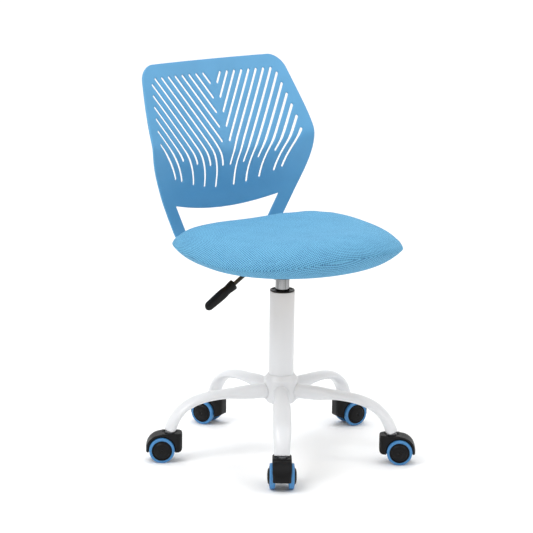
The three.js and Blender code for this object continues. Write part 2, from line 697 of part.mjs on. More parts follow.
function backSheet() {
  const rows = backRows.foot + backRows.bend + backRows.panel + backRows.corner;
  const bendTop = footTop + footBend;
  const cornerStart = backTop - backCornerRadius;
  const sheet = new THREE.BoxGeometry(1, 1, 1, backColumns, 1, rows);
  return reshape(sheet, (u, face, v) => {
    const row = Math.round((v + 0.5) * rows);
    const bendRow = row - backRows.foot;
    const panelRow = bendRow - backRows.bend;
    const cornerRow = panelRow - backRows.panel;
    const run = bendRow < 0 ? (-bendRow / backRows.foot) * footLength : 0;
    const turn = panelRow < 0 ? Math.min(-panelRow / backRows.bend, 1) * 90 * deg : 0;
    let z = bendTop - footBend * Math.sin(turn);
    if (panelRow > 0) z = mix(bendTop, cornerStart, Math.min(panelRow / backRows.panel, 1));
    if (cornerRow > 0) {
      z = cornerStart + backCornerRadius * Math.sin((cornerRow / backRows.corner) * 90 * deg);
    }
    const x = 2 * u * backHalfWidth(z);
    const depth = face > 0 ? backThickness : 0;
    const centre = backFront(x, Math.max(z, bendTop)) - footBend;
    const radius = footBend + depth;
    return new THREE.Vector3(x, centre + radius * Math.cos(turn) - run,
      panelRow < 0 ? bendTop - radius * Math.sin(turn) : z);
  });
}

function windowShape() {
  const bottom = footTop - backThickness - past;
  const shape = new THREE.Shape();
  shape.moveTo(-uprightInside(bottom), bottom);
  shape.lineTo(uprightInside(bottom), bottom);
  shape.lineTo(windowTopHalf, windowTop);
  shape.quadraticCurveTo(0, windowTop - 2 * windowSag, -windowTopHalf, windowTop);
  return shape;
}

// Middle line of slot number k: slanting in towards the middle, the outer ones turning upright.
function slotMiddle(k, z) {
  const slanted = slotFirst + slotPitch * (k - 1) + slotSlope * (z - slotTop);
  const below = Math.max(slotTurnHeight - slotTurnStep * (k - 1) - z, 0);
  const turning = Math.min(below, slotTurnLength);
  return slanted + slotSlope * (turning ** 2 / (2 * slotTurnLength) + below - turning);
}

function slotEnds(k) {
  let top = slotTop;
  while (slotMiddle(k, top) > backHalfWidth(top) - slotSideBorder) top -= slotSearch;
  if (k <= slotStraightCount) {
    return [top, slotTop - (slotFirst + slotPitch * (k - 1) - slotMiddleBorder) / slotSlope];
  }
  const short = k % 2 === 0 && k < slotCount;
  const end = short ? slotShortEnd : slotLongEnd;
  return [top, end + slotEndBow * slotMiddle(k, end) ** 2];
}

function slotShape(k, side) {
  const [top, bottom] = slotEnds(k);
  const turn = slotTurnHeight - slotTurnStep * (k - 1);
  const bends = [0, 0.5, 1].map((share) => turn - share * slotTurnLength);
  const heights = [top, ...bends.filter(
    (z) => z < top - slotLeastStep && z > bottom + slotLeastStep), bottom];
  const middle = heights.map((z) => new THREE.Vector2(side * slotMiddle(k, z), z));
  const half = slotWidth / 2;
  const alongAt = (i) => middle[Math.min(i + 1, middle.length - 1)].clone()
    .sub(middle[Math.max(i - 1, 0)]).normalize();
  const offset = (i, forward, sideways) => {
    const along = alongAt(i);
    return middle[i].clone().addScaledVector(along, forward)
      .add(new THREE.Vector2(-along.y, along.x).multiplyScalar(sideways));
  };
  const last = middle.length - 1;
  const down = middle.map((_, i) => offset(i, 0, half));
  const up = middle.map((_, i) => offset(last - i, 0, -half));
  return new THREE.Shape([
    offset(0, -half, half * slotTip), ...down, offset(last, half, half * slotTip),
    offset(last, half, -half * slotTip), ...up, offset(0, -half, -half * slotTip)]);
}

function backrestGeometry() {
  const near = backKneeReach - 2 * backKneeCup - footLength;
  const far = backKneeReach + backTop - backUprightTop;
  const tools = [slabAlongY(windowShape(), near, far)];
  for (let k = 1; k <= slotCount; k += 1) {
    for (const side of [-1, 1]) tools.push(slabAlongY(slotShape(k, side), near + footLength, far));
  }
  const notch = new THREE.Shape([
    new THREE.Vector2(-notchHalf, slotTop), new THREE.Vector2(0, slotTop - notchDepth),
    new THREE.Vector2(notchHalf, slotTop)]);
  tools.push(slabAlongY(notch, near + footLength, far));
  for (const place of footScrewPlaces) {
    tools.push(boltHole(place, footTop - backThickness - past, footTop + past));
  }
  return cut(backSheet(), ...tools);
}

// ---------- assembly ----------
piece('base_hub', hubGeometry, whiteSteel);
for (let number = 1; number <= legCount; number += 1) {
  const angle = firstLegAngle + (number - 1) * 360 / legCount;
  const leg = piece(`leg_${number}`, legGeometry(), whiteSteel);
  leg.rotation.z = (angle - 90) * deg;
  addCaster(number, angle);
}
piece('column_tube', columnGeometry, whiteSteel);
piece('guide_bush', bushGeometry, blackAcetal);
piece('thrust_bearing', bearingGeometry, zincSteel);
piece('piston_rod', rodGeometry, brightSteel);
piece('rod_clip', clipGeometry(), zincSteel);
piece('gas_cylinder', cylinderGeometry, brightSteel);
piece('release_button', buttonGeometry, zincSteel);
piece('seat_plate', plateGeometry(), blackSteel);
piece('lever_rod', leverRodGeometry(), blackSteel);
piece('lever_grip', leverGripGeometry(), blackNylon);
piece('seat_board', boardGeometry(), plywood);
boltPlaces.forEach(([x, y], i) => {
  piece(`plate_bolt_${i + 1}`, boltGeometry(plateTop - plateThickness), zincSteel).position.set(x, y, 0);
});
footScrewPlaces.forEach(([x, y], i) => {
  piece(`back_screw_${i + 1}`, boltGeometry(footTop - backThickness), zincSteel).position.set(x, y, 0);
});
piece('seat_cushion', cushionGeometry(), blueMesh);
piece('backrest', backrestGeometry(), blueBack);

// The origin is on the floor under the middle of the chair's bounding box.
chair.updateMatrixWorld(true);
const bounds = new THREE.Box3().setFromObject(chair, true);
const middle = bounds.getCenter(new THREE.Vector3());
chair.position.set(-middle.x, -middle.y, -bounds.min.z);
chair.updateMatrixWorld(true);

export default chair;
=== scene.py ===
"""Swivel office chair: the finished look of every piece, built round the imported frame.

All lengths are in metres. A shape is a numpy surface of two parameters, a profile turned or carried
along a path, or a flat region that is bent and given a wall.
"""
import json
import math

import bmesh
import bpy
import numpy as np
from bpy.props import FloatProperty, FloatVectorProperty, IntProperty, PointerProperty
from mathutils import Matrix, Vector
from mathutils.geometry import delaunay_2d_cdt


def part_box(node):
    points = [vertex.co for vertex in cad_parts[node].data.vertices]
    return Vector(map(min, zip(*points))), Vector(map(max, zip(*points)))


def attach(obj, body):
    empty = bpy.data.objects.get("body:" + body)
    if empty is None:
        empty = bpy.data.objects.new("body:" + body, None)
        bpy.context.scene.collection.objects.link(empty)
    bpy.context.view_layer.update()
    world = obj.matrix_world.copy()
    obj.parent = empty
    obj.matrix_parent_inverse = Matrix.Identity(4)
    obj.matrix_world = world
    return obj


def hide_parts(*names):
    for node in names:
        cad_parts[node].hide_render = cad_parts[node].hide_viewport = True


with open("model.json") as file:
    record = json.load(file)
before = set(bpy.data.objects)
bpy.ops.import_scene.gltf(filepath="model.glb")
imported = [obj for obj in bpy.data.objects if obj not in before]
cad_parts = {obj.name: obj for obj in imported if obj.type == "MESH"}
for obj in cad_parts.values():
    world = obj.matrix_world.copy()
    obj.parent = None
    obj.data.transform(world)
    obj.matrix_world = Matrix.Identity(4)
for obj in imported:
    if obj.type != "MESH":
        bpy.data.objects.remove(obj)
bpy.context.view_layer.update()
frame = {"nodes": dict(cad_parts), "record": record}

bl_info = {
    "name": "Swivel office chair",
    "version": (1, 0, 0),
    "blender": (4, 5, 0),
    "location": "3D view > Sidebar > Office chair",
    "description": "Builds a five-leg swivel chair with a mesh seat and a slotted moulded back",
    "category": "Add Mesh",
}

MM = 0.001
TURN = 2 * math.pi
VIEW_AZIMUTH = math.radians(-36.66)  # the camera's side of the chair, which the backdrop faces
CASTERS = range(1, 6)
SIDES = ("left", "right")
RECORD_JOINTS = {joint["name"]: joint for joint in frame["record"]["behaviour"]["joints"]}


def low(node):
    """Lowest corner of a CAD node."""
    return np.array(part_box(node)[0])


def high(node):
    """Highest corner of a CAD node."""
    return np.array(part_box(node)[1])


AXIS = np.array(RECORD_JOINTS["seat_swivel"]["pos_m"]) * (1, 1, 0)


# ---------- sizes and colours ----------
def length(name, millimetres, description):
    return FloatProperty(name=name, description=description, default=millimetres * MM, unit="LENGTH")


def number(name, value, description):
    return FloatProperty(name=name, description=description, default=value)


def linear(hex_colour):
    """An sRGB hex colour turned to linear red, green and blue."""
    srgb = np.array([int(hex_colour[i:i + 2], 16) / 255 for i in (1, 3, 5)])
    return np.where(srgb <= 0.04045, srgb / 12.92, ((srgb + 0.055) / 1.055) ** 2.4)


def colour(name, hex_colour, description):
    return FloatVectorProperty(
        name=name, description=description, default=tuple(linear(hex_colour)), size=3,
        subtype="COLOR", min=0, max=1)


class ChairFinishes(bpy.types.PropertyGroup):
    """Colours of the materials."""
    back: colour("Back", "#5A9DC9", "Moulded polypropylene of the backrest")
    mesh_light: colour("Mesh yarn", "#68AED2", "Raised yarn of the seat's spacer mesh")
    # The holes' colour is painted shade: the dark seen inside the open holes of the mesh.
    mesh_dark: colour("Mesh holes", "#1A5684", "Holes between the yarns of the mesh")
    tread: colour("Treads", "#4284BC", "Polyurethane treads")
    coat: colour("Powder coat", "#E3E4E6", "White powder coat of the base and column")
    nylon: colour("Nylon", "#09090B", "Black moulded nylon of casters and grip")
    chrome: colour("Chrome", "#8E8F90", "Plating of the gas cylinder")
    zinc: colour("Zinc", "#A8AAAE", "Plating of bolts, pins and stems")
    black_coat: colour("Black coat", "#19191B", "Powder coat of the seat plate and lever")
    birch: colour("Birch", "#C9A877", "Face of the plywood board")


class BackrestSizes(bpy.types.PropertyGroup):
    """Sheet, slots and opening of the backrest."""
    thickness: length("Thickness", 4, "Wall of the moulding")
    edge: length("Edge radius", 1.3, "Rounding along every edge of the sheet")
    corner: length("Corner radius", 28, "Upper corners")
    widest: length("Widest height", 584.6, "Height where the side tapers meet")
    taper_half: length("Taper half width", 220.8, "Half width that the two tapers would meet at")
    taper_up: number("Upper taper", 0.278, "Side slope above the widest part")
    taper_down: number("Lower taper", 0.531, "Side slope below the widest part")
    side_round: length("Side rounding", 24.4, "Softness of the widest corner")
    knee: length("Crease height", 577, "Height of the crease in the middle")
    knee_rise: length("Crease rise", 29, "Crease higher at the sides")
    knee_reach: length("Crease reach", 184.4, "Front face behind the swivel axis")
    cup: length("Cup", 25.6, "Sides further forward than the middle")
    cup_half: length("Cup half width", 195, "Half width that the cup is measured at")
    upper_slope: number("Upper slope", 0.4, "Recline above the crease")
    upper_gain: number("Upper slope gain", 0.16, "More recline at the sides")
    lower_slope: number("Lower slope", 0.166, "Slope below the crease")
    lower_loss: number("Lower slope loss", 0.116, "Less slope at the sides")
    softness: length("Crease softness", 3, "Rounding of the crease")
    upright_top: length("Upright top", 495, "The sheet is upright below this height")
    bend: length("Foot bend", 32, "Bend under the seat")
    foot: length("Foot length", 92, "Flat foot under the seat board")
    window_top: length("Opening top", 479.5, "Corners of the opening under the back")
    window_sag: length("Opening sag", 17, "Its upper edge hangs lower in the middle")
    window_half: length("Opening half width", 127, "Half width at its corners")
    window_taper: number("Opening taper", 0.5, "Inner edges lean in towards the feet")
    slot_count: IntProperty(name="Slots", description="Slots on each side", default=14)
    slot_width: length("Slot width", 5, "Clear width of a slot")
    slot_first: length("First slot", 20.3, "First slot from the middle, at the top")
    slot_pitch: length("Slot pitch", 17.3, "Slot to slot")
    slot_slope: number("Slot slope", 0.62, "Lean of the slots")
    slot_top: length("Slot top", 728.5, "Upper ends of the slots")
    side_border: length("Side border", 25.7, "Plain band along the sides")
    middle_border: length("Middle border", 9, "Slots run out this far from the middle")
    turn_height: length("Turn height", 628.5, "Where the first slot would turn upright")
    turn_step: length("Turn step", 4.3, "Each further slot turns lower")
    turn_length: length("Turn length", 77.5, "Length of a slot's turn")
    straight: IntProperty(name="Straight slots", description="Slots that end at the middle", default=5)
    short_end: length("Short ends", 550, "Lower ends of every second slot")
    long_end: length("Long ends", 506, "Lower ends of the others")
    end_bow: number("End bow", 1.9, "Slot ends lie on a curve that rises to the sides")
    spacing: length("Mesh spacing", 5, "Triangle size of the sheet")


class CushionSizes(bpy.types.PropertyGroup):
    """Outline and crown of the seat."""
    front_power: number("Front roundness", 2.12, "2 is an ellipse")
    rear_power: number("Rear roundness", 2.7, "2 is an ellipse")
    rim: length("Edge height", 411.5, "Edge at the middle of the rear")
    front_rise: length("Front rise", 24, "Edge higher at the front")
    front_corner_drop: length("Front corner drop", 6.5, "Edge lower at the front corners")
    rear_corner_rise: length("Rear corner rise", 25.8, "Edge higher at the rear corners")
    crown: length("Crown", 45, "Top above the edge")
    flatness: number("Crown flatness", 6.15, "Higher keeps the top flat further out")
    rounding: number("Crown rounding", 0.79, "Lower makes the edge fuller")
    roll: number("Roll", 1.7, "Underside: higher keeps it low further out")
    roll_fullness: number("Roll fullness", 0.88, "Underside: lower makes the edge fuller")
    board_share: number("Board share", 0.727, "Board outline as a share of the seat's")
    under_lift: length("Underside lift", 0.3, "Cover above the board's underside")
    proud: length("Proud", 1.0, "The cover stands this far outside the plain solid")
    hold: number("Held edge", 0.975, "The cover keeps its edge past this share of the outline")
    swell: length("Swell cap", 0.9, "No point of the cover moves further")
    rings: IntProperty(name="Grid", description="Grid cells across the seat", default=104)


class BaseSizes(bpy.types.PropertyGroup):
    """Legs and hub."""
    tube: length("Tube", 28.4, "Round tube at the hub")
    flat_width: length("Oval width", 35, "The tube pressed oval")
    flat_height: length("Oval height", 17.6, "The tube pressed oval")
    end_width: length("End width", 30, "Section over the caster")
    end_height: length("End height", 22, "Section over the caster")
    height: length("Leg height", 126, "Middle of the tube at the hub")
    bend_start: length("Bend start", 100, "Radius where a leg starts to curve down")
    bend_pull: number("Bend pull", 0.87, "How late a leg turns down")
    press_start: length("Press start", 50, "From the hub, where the tube starts to flatten")
    press_end: length("Press end", 115, "Where it is fully oval")
    swell_start: length("Swell start", 60, "From the tip, where the end section starts")
    swell_end: length("Swell end", 20, "Where it is complete")
    bead: length("Weld bead", 1.6, "Weld round the leg at the hub, under the coat")


class LeverSizes(bpy.types.PropertyGroup):
    """Rod, pivot and grip of the height lever; reaches are from the swivel axis."""
    rod: length("Rod", 8, "Round rod")
    boss: length("Boss", 13, "Flattened eye round the pivot pin")
    pin: length("Pin", 5, "Pivot pin")
    inner: length("Inner reach", 5, "Rod past the swivel axis")
    knee: length("Knee", 83, "Where the rod turns down")
    knee_round: length("Knee rounding", 14, "Length of the bend on each side")
    slope: number("Slope", 31.2, "Degrees down, past the knee")
    tip: length("Tip", 184, "End of the grip")
    grip: length("Grip length", 78, "Moulded grip")
    bite: length("Bite", 26, "Rod inside the grip")
    width: length("Grip width", 21, "Across the flat side")
    thickness: length("Grip thickness", 14, "Through the flat side")
    collar_waist: length("Collar waist", 1.6, "Narrower behind the collar")
    end_waist: length("End waist", 1.4, "Narrower towards the tip")
    rib: length("Rib", 0.35, "Depth of the finger ribs")
    rib_pitch: length("Rib pitch", 3.2, "Rib to rib")


class CasterSizes(bpy.types.PropertyGroup):
    """Housing and wheels."""
    hood: length("Hood radius", 31.2, "Hood over the wheels, about the axle")
    drop: length("Hood drop", 5, "Hood below the axle")
    hood_corner: length("Hood corner", 8, "Corners seen from above, at the hood")
    back: length("Block reach", 40, "Block behind the axle")
    rise: length("Block rise", 32.5, "Top of the block above the axle")
    block_round: length("Block rounding", 7, "Lower edge of the block")
    block_corner: length("Block corner", 13, "Corners seen from above, at the block")
    width: length("Housing width", 37, "Across the hood")
    spacing: length("Wheel spacing", 26, "Clear space between the treads")
    pocket: length("Pocket clearance", 1.2, "Round a wheel inside its hood")
    saddle: length("Saddle radius", 16, "Dished top round the stem")
    saddle_depth: length("Saddle depth", 2, "Dished top round the stem")
    voxel: length("Voxel", 0.8, "Grid that softens the moulding's edges")


# ---------- meshes ----------
def finish_piece(name, mesh, body, material, nodes=()):
    """Closes doubled seams and poles, shades the piece smooth and hands it to the frame."""
    form = bmesh.new()
    form.from_mesh(mesh)
    bmesh.ops.remove_doubles(form, verts=form.verts, dist=0.004 * MM)
    bmesh.ops.dissolve_degenerate(form, edges=form.edges, dist=0.002 * MM)
    bmesh.ops.recalc_face_normals(form, faces=form.faces)
    form.to_mesh(mesh)
    form.free()
    mesh.shade_smooth()
    piece = bpy.data.objects.new(name, mesh)
    bpy.context.scene.collection.objects.link(piece)
    mesh.materials.append(material)
    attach(piece, body)
    if nodes:
        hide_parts(*nodes)
    return piece


def grid_faces(rows, columns, wrap=False, start=0):
    """Corner numbers of the quads of a grid of rows by columns, its columns closed into rings if wrapped."""
    last = columns if wrap else columns - 1
    i, j = np.meshgrid(np.arange(rows - 1), np.arange(last), indexing="ij")
    k = (j + 1) % columns
    return start + np.stack(
        [i * columns + j, i * columns + k, (i + 1) * columns + k, (i + 1) * columns + j], -1).reshape(-1, 4)


def mesh_of(name, points, faces):
    mesh = bpy.data.meshes.new(name)
    mesh.from_pydata(np.asarray(points, float).reshape(-1, 3).tolist(), [], np.asarray(faces).tolist())
    mesh.update()
    return mesh


def merged(name, meshes):
    """Several point and face pairs as one mesh."""
    points, faces, count = [], [], 0
    for some_points, some_faces in meshes:
        points += np.asarray(some_points).reshape(-1, 3).tolist()
        faces += (np.asarray(some_faces) + count).tolist()
        count = len(points)
    return mesh_of(name, points, faces)


def rounded(corners, steps=5):
    """A line through corners (a, b, radius), each with an arc of its radius that touches both sides."""
    corners = np.array(corners, float)
    line = [corners[0, :2]]
    for before, here, after in zip(corners[:-2], corners[1:-1], corners[2:]):
        to_before, to_after = before[:2] - here[:2], after[:2] - here[:2]
        reach = [np.linalg.norm(to_before), np.linalg.norm(to_after)]
        to_before, to_after = to_before / reach[0], to_after / reach[1]
        half = math.acos(np.clip(to_before @ to_after, -1, 1)) / 2
        if here[2] <= 0 or half > 1.5:
            line.append(here[:2])
            continue
        tangent = min(here[2] / math.tan(half), 0.49 * min(reach))
        radius = tangent * math.tan(half)
        bisector = (to_before + to_after) / np.linalg.norm(to_before + to_after)
        centre = here[:2] + bisector * radius / math.sin(half)
        first = here[:2] + to_before * tangent - centre
        last = here[:2] + to_after * tangent - centre
        angle = math.acos(np.clip(first @ last / radius ** 2, -1, 1))
        share = np.linspace(0, 1, steps)[:, None]
        swept = np.sin((1 - share) * angle) * first + np.sin(share * angle) * last
        line += list(centre + swept / math.sin(angle))
    line.append(corners[-1, :2])
    return np.array(line)


def turned(profile, sides=64, radius_share=None):
    """A profile of (radius, height) carried round the Z axis: x = r cos a, y = r sin a."""
    angle = np.linspace(0, TURN, sides, endpoint=False)
    radius, height = profile[:, :1], profile[:, 1:]
    if radius_share is not None:
        radius = radius * radius_share(angle, height)
    points = np.stack([radius * np.cos(angle), radius * np.sin(angle), height + 0 * radius * angle], -1)
    return points, grid_faces(len(profile), sides, wrap=True)


def carried(path, side, half_width, half_height, sides=28, power=2.0):
    """A section carried along a path: a superellipse of the given halves, square to the path."""
    angle = np.linspace(0, TURN, sides, endpoint=False)
    ahead = np.gradient(path, axis=0)
    ahead /= np.linalg.norm(ahead, axis=1)[:, None]
    up = np.cross(ahead, side)
    share = (np.abs(np.cos(angle)) ** power + np.abs(np.sin(angle)) ** power) ** (-1 / power)
    across = (share * np.cos(angle))[None, :, None] * np.asarray(half_width)[:, None, None] * side
    upward = (share * np.sin(angle))[None, :, None] * np.asarray(half_height)[:, None, None] * up[:, None,
                                                                                                  :]
    points = path[:, None, :] + across + upward
    return points, grid_faces(len(path), sides, wrap=True)


def placed(points, angle, origin):
    """Points turned about Z and moved to an origin."""
    turn = np.array([[math.cos(angle), -math.sin(angle), 0], [math.sin(angle), math.cos(angle), 0],
                     [0, 0, 1]])
    return np.asarray(points) @ turn.T + origin


def laid_along(points, direction, origin):
    """Points whose Z axis is turned to lie along a level direction, and moved to an origin."""
    ahead = np.array(direction, float)
    side = np.array([-ahead[1], ahead[0], 0])
    return np.asarray(points) @ np.stack([side, np.array([0, 0, 1.0]), ahead]) + origin


def smooth_step(value, low_end, high_end):
    share = np.clip((value - low_end) / (high_end - low_end), 0, 1)
    return share * share * (3 - 2 * share)


def soft_max(a, b, radius):
    """The larger of two values, with the corner between them rounded."""
    return (a + b) / 2 + np.hypot((a - b) / 2, radius)


def soft_min(a, b, radius):
    return (a + b) / 2 - np.hypot((a - b) / 2, radius)


# ---------- materials ----------
def add(tree, kind, inputs=None, **settings):
    """Adds one node: its settings are attributes, and each input is a value or another node's output."""
    made = tree.nodes.new(kind)
    for key, value in settings.items():
        setattr(made, key, value)
    for key, value in (inputs or {}).items():
        if isinstance(value, bpy.types.NodeSocket):
            tree.links.new(value, made.inputs[key])
        else:
            made.inputs[key].default_value = value
    return made


def new_material(name, base, roughness, **shader):
    """A material whose tree holds one Principled shader with its constants set on its own sockets."""
    material = bpy.data.materials.new(name)
    material.use_nodes = True
    tree = material.node_tree
    principled = tree.nodes["Principled BSDF"]
    principled.inputs["Base Color"].default_value = (*base, 1)
    principled.inputs["Roughness"].default_value = roughness
    for key, value in shader.items():
        principled.inputs[key.replace("_", " ")].default_value = value
    return material, tree, principled


def bump_from(tree, principled, height, distance, strength=1.0):
    bump = add(tree, "ShaderNodeBump", {"Height": height, "Distance": distance, "Strength": strength})
    tree.links.new(bump.outputs["Normal"], principled.inputs["Normal"])


def object_noise(tree, size, detail=2.0, stretch=(1, 1, 1)):
    """Noise whose features are about size across, in metres, on the piece's own coordinates."""
    where = add(tree, "ShaderNodeTexCoord").outputs["Object"]
    scaled = add(tree, "ShaderNodeMapping", {"Vector": where, "Scale": stretch}).outputs["Vector"]
    return add(tree, "ShaderNodeTexNoise",
               {"Vector": scaled, "Scale": 1 / size, "Detail": detail}).outputs["Fac"]


def varied(tree, principled, factor, base, shift, socket="Base Color"):
    """The base colour made a little darker and lighter by a factor from 0 to 1."""
    base = np.array(base)
    ramp = add(tree, "ShaderNodeValToRGB", {"Fac": factor})
    ramp.color_ramp.elements[0].position = 0.3
    ramp.color_ramp.elements[1].position = 0.7
    ramp.color_ramp.elements[0].color = (*(base * (1 - shift)), 1)
    ramp.color_ramp.elements[1].color = (*np.clip(base * (1 + shift), 0, 1), 1)
    tree.links.new(ramp.outputs["Color"], principled.inputs[socket])


def ranged(tree, principled, factor, smallest, largest, socket="Roughness"):
    spread = add(tree, "ShaderNodeMapRange", {"Value": factor, "From Min": 0.3, "From Max": 0.7,
                                              "To Min": smallest, "To Max": largest})
    tree.links.new(spread.outputs["Result"], principled.inputs[socket])


def polypropylene_blue(base):
    """Injection-moulded polypropylene: a fine spark-eroded grain and a soft, waxy gloss."""
    material, tree, shader = new_material("polypropylene_blue", base, 0.42, IOR=1.49,
                                          Specular_IOR_Level=0.45)
    varied(tree, shader, object_noise(tree, 60 * MM), base, 0.035)
    grain = object_noise(tree, 0.9 * MM, 3)
    ranged(tree, shader, grain, 0.38, 0.5)
    bump_from(tree, shader, grain, 0.06 * MM)
    return material


def spacer_mesh(light, dark):
    """Knitted polyester spacer mesh: raised yarn round rows of holes that lean across the seat, the holes
    painted dark as the shade inside them.
    """
    material, tree, shader = new_material(
        "polyester_spacer_mesh", light, 0.85, IOR=1.53, Sheen_Weight=0.35, Sheen_Roughness=0.4)
    shader.inputs["Sheen Tint"].default_value = (*light, 1)
    # Real holes are 2 mm apart; they are drawn 3.4 mm apart so that they still show at this distance.
    pitch = 3.4 * MM
    cloth = add(tree, "ShaderNodeUVMap", uv_map="cloth").outputs["UV"]
    leaning = add(tree, "ShaderNodeMapping", {
        "Vector": cloth, "Rotation": (0, 0, math.radians(8)), "Scale": (1, 0.8, 1)}).outputs["Vector"]
    waver = add(tree, "ShaderNodeTexNoise", {"Vector": cloth, "Scale": 1 / (22 * MM), "Detail": 2.0})
    shifted = add(tree, "ShaderNodeVectorMath", {0: waver.outputs["Color"], 1: (1.6 * MM, 1.6 * MM, 0)},
                  operation="MULTIPLY")
    place = add(tree, "ShaderNodeVectorMath", {0: leaning, 1: shifted.outputs[0]})
    cells = add(tree, "ShaderNodeTexVoronoi",
                {"Vector": place.outputs[0], "Scale": 1 / pitch, "Randomness": 0.12})
    hole = add(tree, "ShaderNodeMapRange",
               {"Value": cells.outputs["Distance"], "From Min": 0.18, "From Max": 0.52},
               interpolation_type="SMOOTHSTEP").outputs["Result"]
    broad = add(tree, "ShaderNodeTexNoise", {"Vector": cloth, "Scale": 1 / (45 * MM), "Detail": 3.0})
    fibre = add(tree, "ShaderNodeTexNoise", {"Vector": cloth, "Scale": 1 / (1.1 * MM), "Detail": 2.0})
    uneven = add(tree, "ShaderNodeMath", {0: broad.outputs["Fac"], 1: fibre.outputs["Fac"]})
    # Painted shade in the holes, times a random tone of the yarn; the same mask also drives the bump.
    hole_shade_and_tone = add(tree, "ShaderNodeMath", {0: hole, 1: uneven.outputs[0]}, operation="MULTIPLY")
    ramp = add(tree, "ShaderNodeValToRGB", {"Fac": hole_shade_and_tone.outputs[0]})
    ramp.color_ramp.elements[0].color = (*dark, 1)
    ramp.color_ramp.elements[1].color = (*light, 1)
    ramp.color_ramp.elements[1].position = 0.85
    tree.links.new(ramp.outputs["Color"], shader.inputs["Base Color"])
    bump_from(tree, shader, hole_shade_and_tone.outputs[0], 0.5 * MM, 0.7)
    return material


def powder_coat(name, base, gloss=0.32):
    """Baked powder coat on steel: an even satin skin with a faint orange peel of about 1.5 mm."""
    material, tree, shader = new_material(name, base, gloss, IOR=1.52, Coat_Weight=0.15, Coat_Roughness=0.2)
    varied(tree, shader, object_noise(tree, 90 * MM), base, 0.015)
    peel = object_noise(tree, 1.6 * MM, 1)
    ranged(tree, shader, peel, gloss - 0.04, gloss + 0.06)
    bump_from(tree, shader, peel, 0.035 * MM)
    return material


def moulded_nylon(base):
    """Glass-filled nylon from a textured mould: matt black with a coarse leathery grain."""
    material, tree, shader = new_material("moulded_nylon_black", base, 0.48, IOR=1.53,
                                          Specular_IOR_Level=0.2)
    varied(tree, shader, object_noise(tree, 14 * MM), base, 0.12)
    grain = object_noise(tree, 0.8 * MM, 2)
    ranged(tree, shader, grain, 0.42, 0.56)
    bump_from(tree, shader, grain, 0.07 * MM)
    return material


def cast_polyurethane(base):
    """Polyurethane cast round the wheel: slightly clear, satin, with fine turning lines and dust in them."""
    material, tree, shader = new_material(
        "cast_polyurethane_blue", base, 0.4, IOR=1.5, Subsurface_Weight=0.08, Subsurface_Scale=2 * MM)
    varied(tree, shader, object_noise(tree, 6 * MM, 3), base, 0.06)
    ranged(tree, shader, object_noise(tree, 2 * MM, 2), 0.34, 0.5)
    bump_from(tree, shader, object_noise(tree, 1.2 * MM, 1), 0.03 * MM)
    return material


def plated(name, base, roughness, streak, draw_lines_and_painted_reflections=0.04):
    """Plating over turned or drawn steel: fine rings round the piece, and streaks along it in the colour:
    faint draw lines at the default, and on the chrome strong painted reflections, lighter and darker bands.
    """
    material, tree, shader = new_material(name, base, roughness, Metallic=1.0)
    # Streaks along the piece: faint draw lines at a small share, painted reflection streaks that stay on the
    # metal at a large share.
    varied(tree, shader, object_noise(tree, 4 * MM, 2, (1, 1, 0.01)), base, draw_lines_and_painted_reflections)
    rings = object_noise(tree, 0.5 * MM, 2, (0.02, 0.02, 1))
    ranged(tree, shader, rings, roughness * 0.75, roughness * 1.35)
    bump_from(tree, shader, rings, streak)
    return material


def birch_plywood(base):
    """Birch plywood: long pale grain on the faces, and nine plies that show dark and light on the edge."""
    material, tree, shader = new_material("birch_plywood", base, 0.62, IOR=1.5)
    grain = object_noise(tree, 6 * MM, 6, (0.12, 1, 0))
    where = add(tree, "ShaderNodeTexCoord").outputs["Object"]
    height = add(tree, "ShaderNodeSeparateXYZ", {0: where}).outputs["Z"]
    ply = add(tree, "ShaderNodeMath", {0: height, 1: TURN / (2.67 * MM)}, operation="MULTIPLY")
    wave = add(tree, "ShaderNodeMath", {0: ply.outputs[0]}, operation="SINE")
    normal = add(tree, "ShaderNodeNewGeometry").outputs["Normal"]
    level = add(tree, "ShaderNodeSeparateXYZ", {0: normal}).outputs["Z"]
    edge = add(tree, "ShaderNodeMath", {0: level, 1: 2.0}, operation="POWER")
    on_edge = add(tree, "ShaderNodeMapRange", {"Value": edge.outputs[0], "From Min": 0.2, "From Max": 0.6,
                                               "To Min": 0.22, "To Max": 0.0})
    lines = add(tree, "ShaderNodeMath", {0: wave.outputs[0], 1: on_edge.outputs["Result"], 2: grain},
                operation="MULTIPLY_ADD")
    varied(tree, shader, lines.outputs[0], base, 0.22)
    bump_from(tree, shader, grain, 0.12 * MM)
    return material


def acetal(base):
    """Machined acetal: smooth, slightly greasy black."""
    material, tree, shader = new_material("acetal_black", base * 0.8, 0.3, IOR=1.48)
    ranged(tree, shader, object_noise(tree, 3 * MM, 2), 0.26, 0.4)
    bump_from(tree, shader, object_noise(tree, 0.6 * MM, 2), 0.015 * MM)
    return material


MATERIALS = {}


def make_materials(finishes):
    colours = {name: np.array(getattr(finishes, name)) for name in finishes.bl_rna.properties.keys()
               if name not in ("rna_type", "name")}
    MATERIALS.update({
        "blue_back": polypropylene_blue(colours["back"]),
        "blue_mesh": spacer_mesh(colours["mesh_light"], colours["mesh_dark"]),
        "blue_tread": cast_polyurethane(colours["tread"]),
        "white_steel": powder_coat("powder_coat_white", colours["coat"]),
        "black_nylon": moulded_nylon(colours["nylon"]),
        # The 0.55 paints strong reflection streaks, lighter and darker bands, along the chrome cylinder and
        # piston rod.
        "bright_steel": plated("hard_chrome", colours["chrome"], 0.13, 0.004 * MM, 0.55),
        "zinc_steel": plated("zinc_plate", colours["zinc"], 0.34, 0.012 * MM),
        "black_steel": powder_coat("powder_coat_black", colours["black_coat"], 0.42),
        "plywood": birch_plywood(colours["birch"]),
        "black_acetal": acetal(colours["nylon"]),
    })


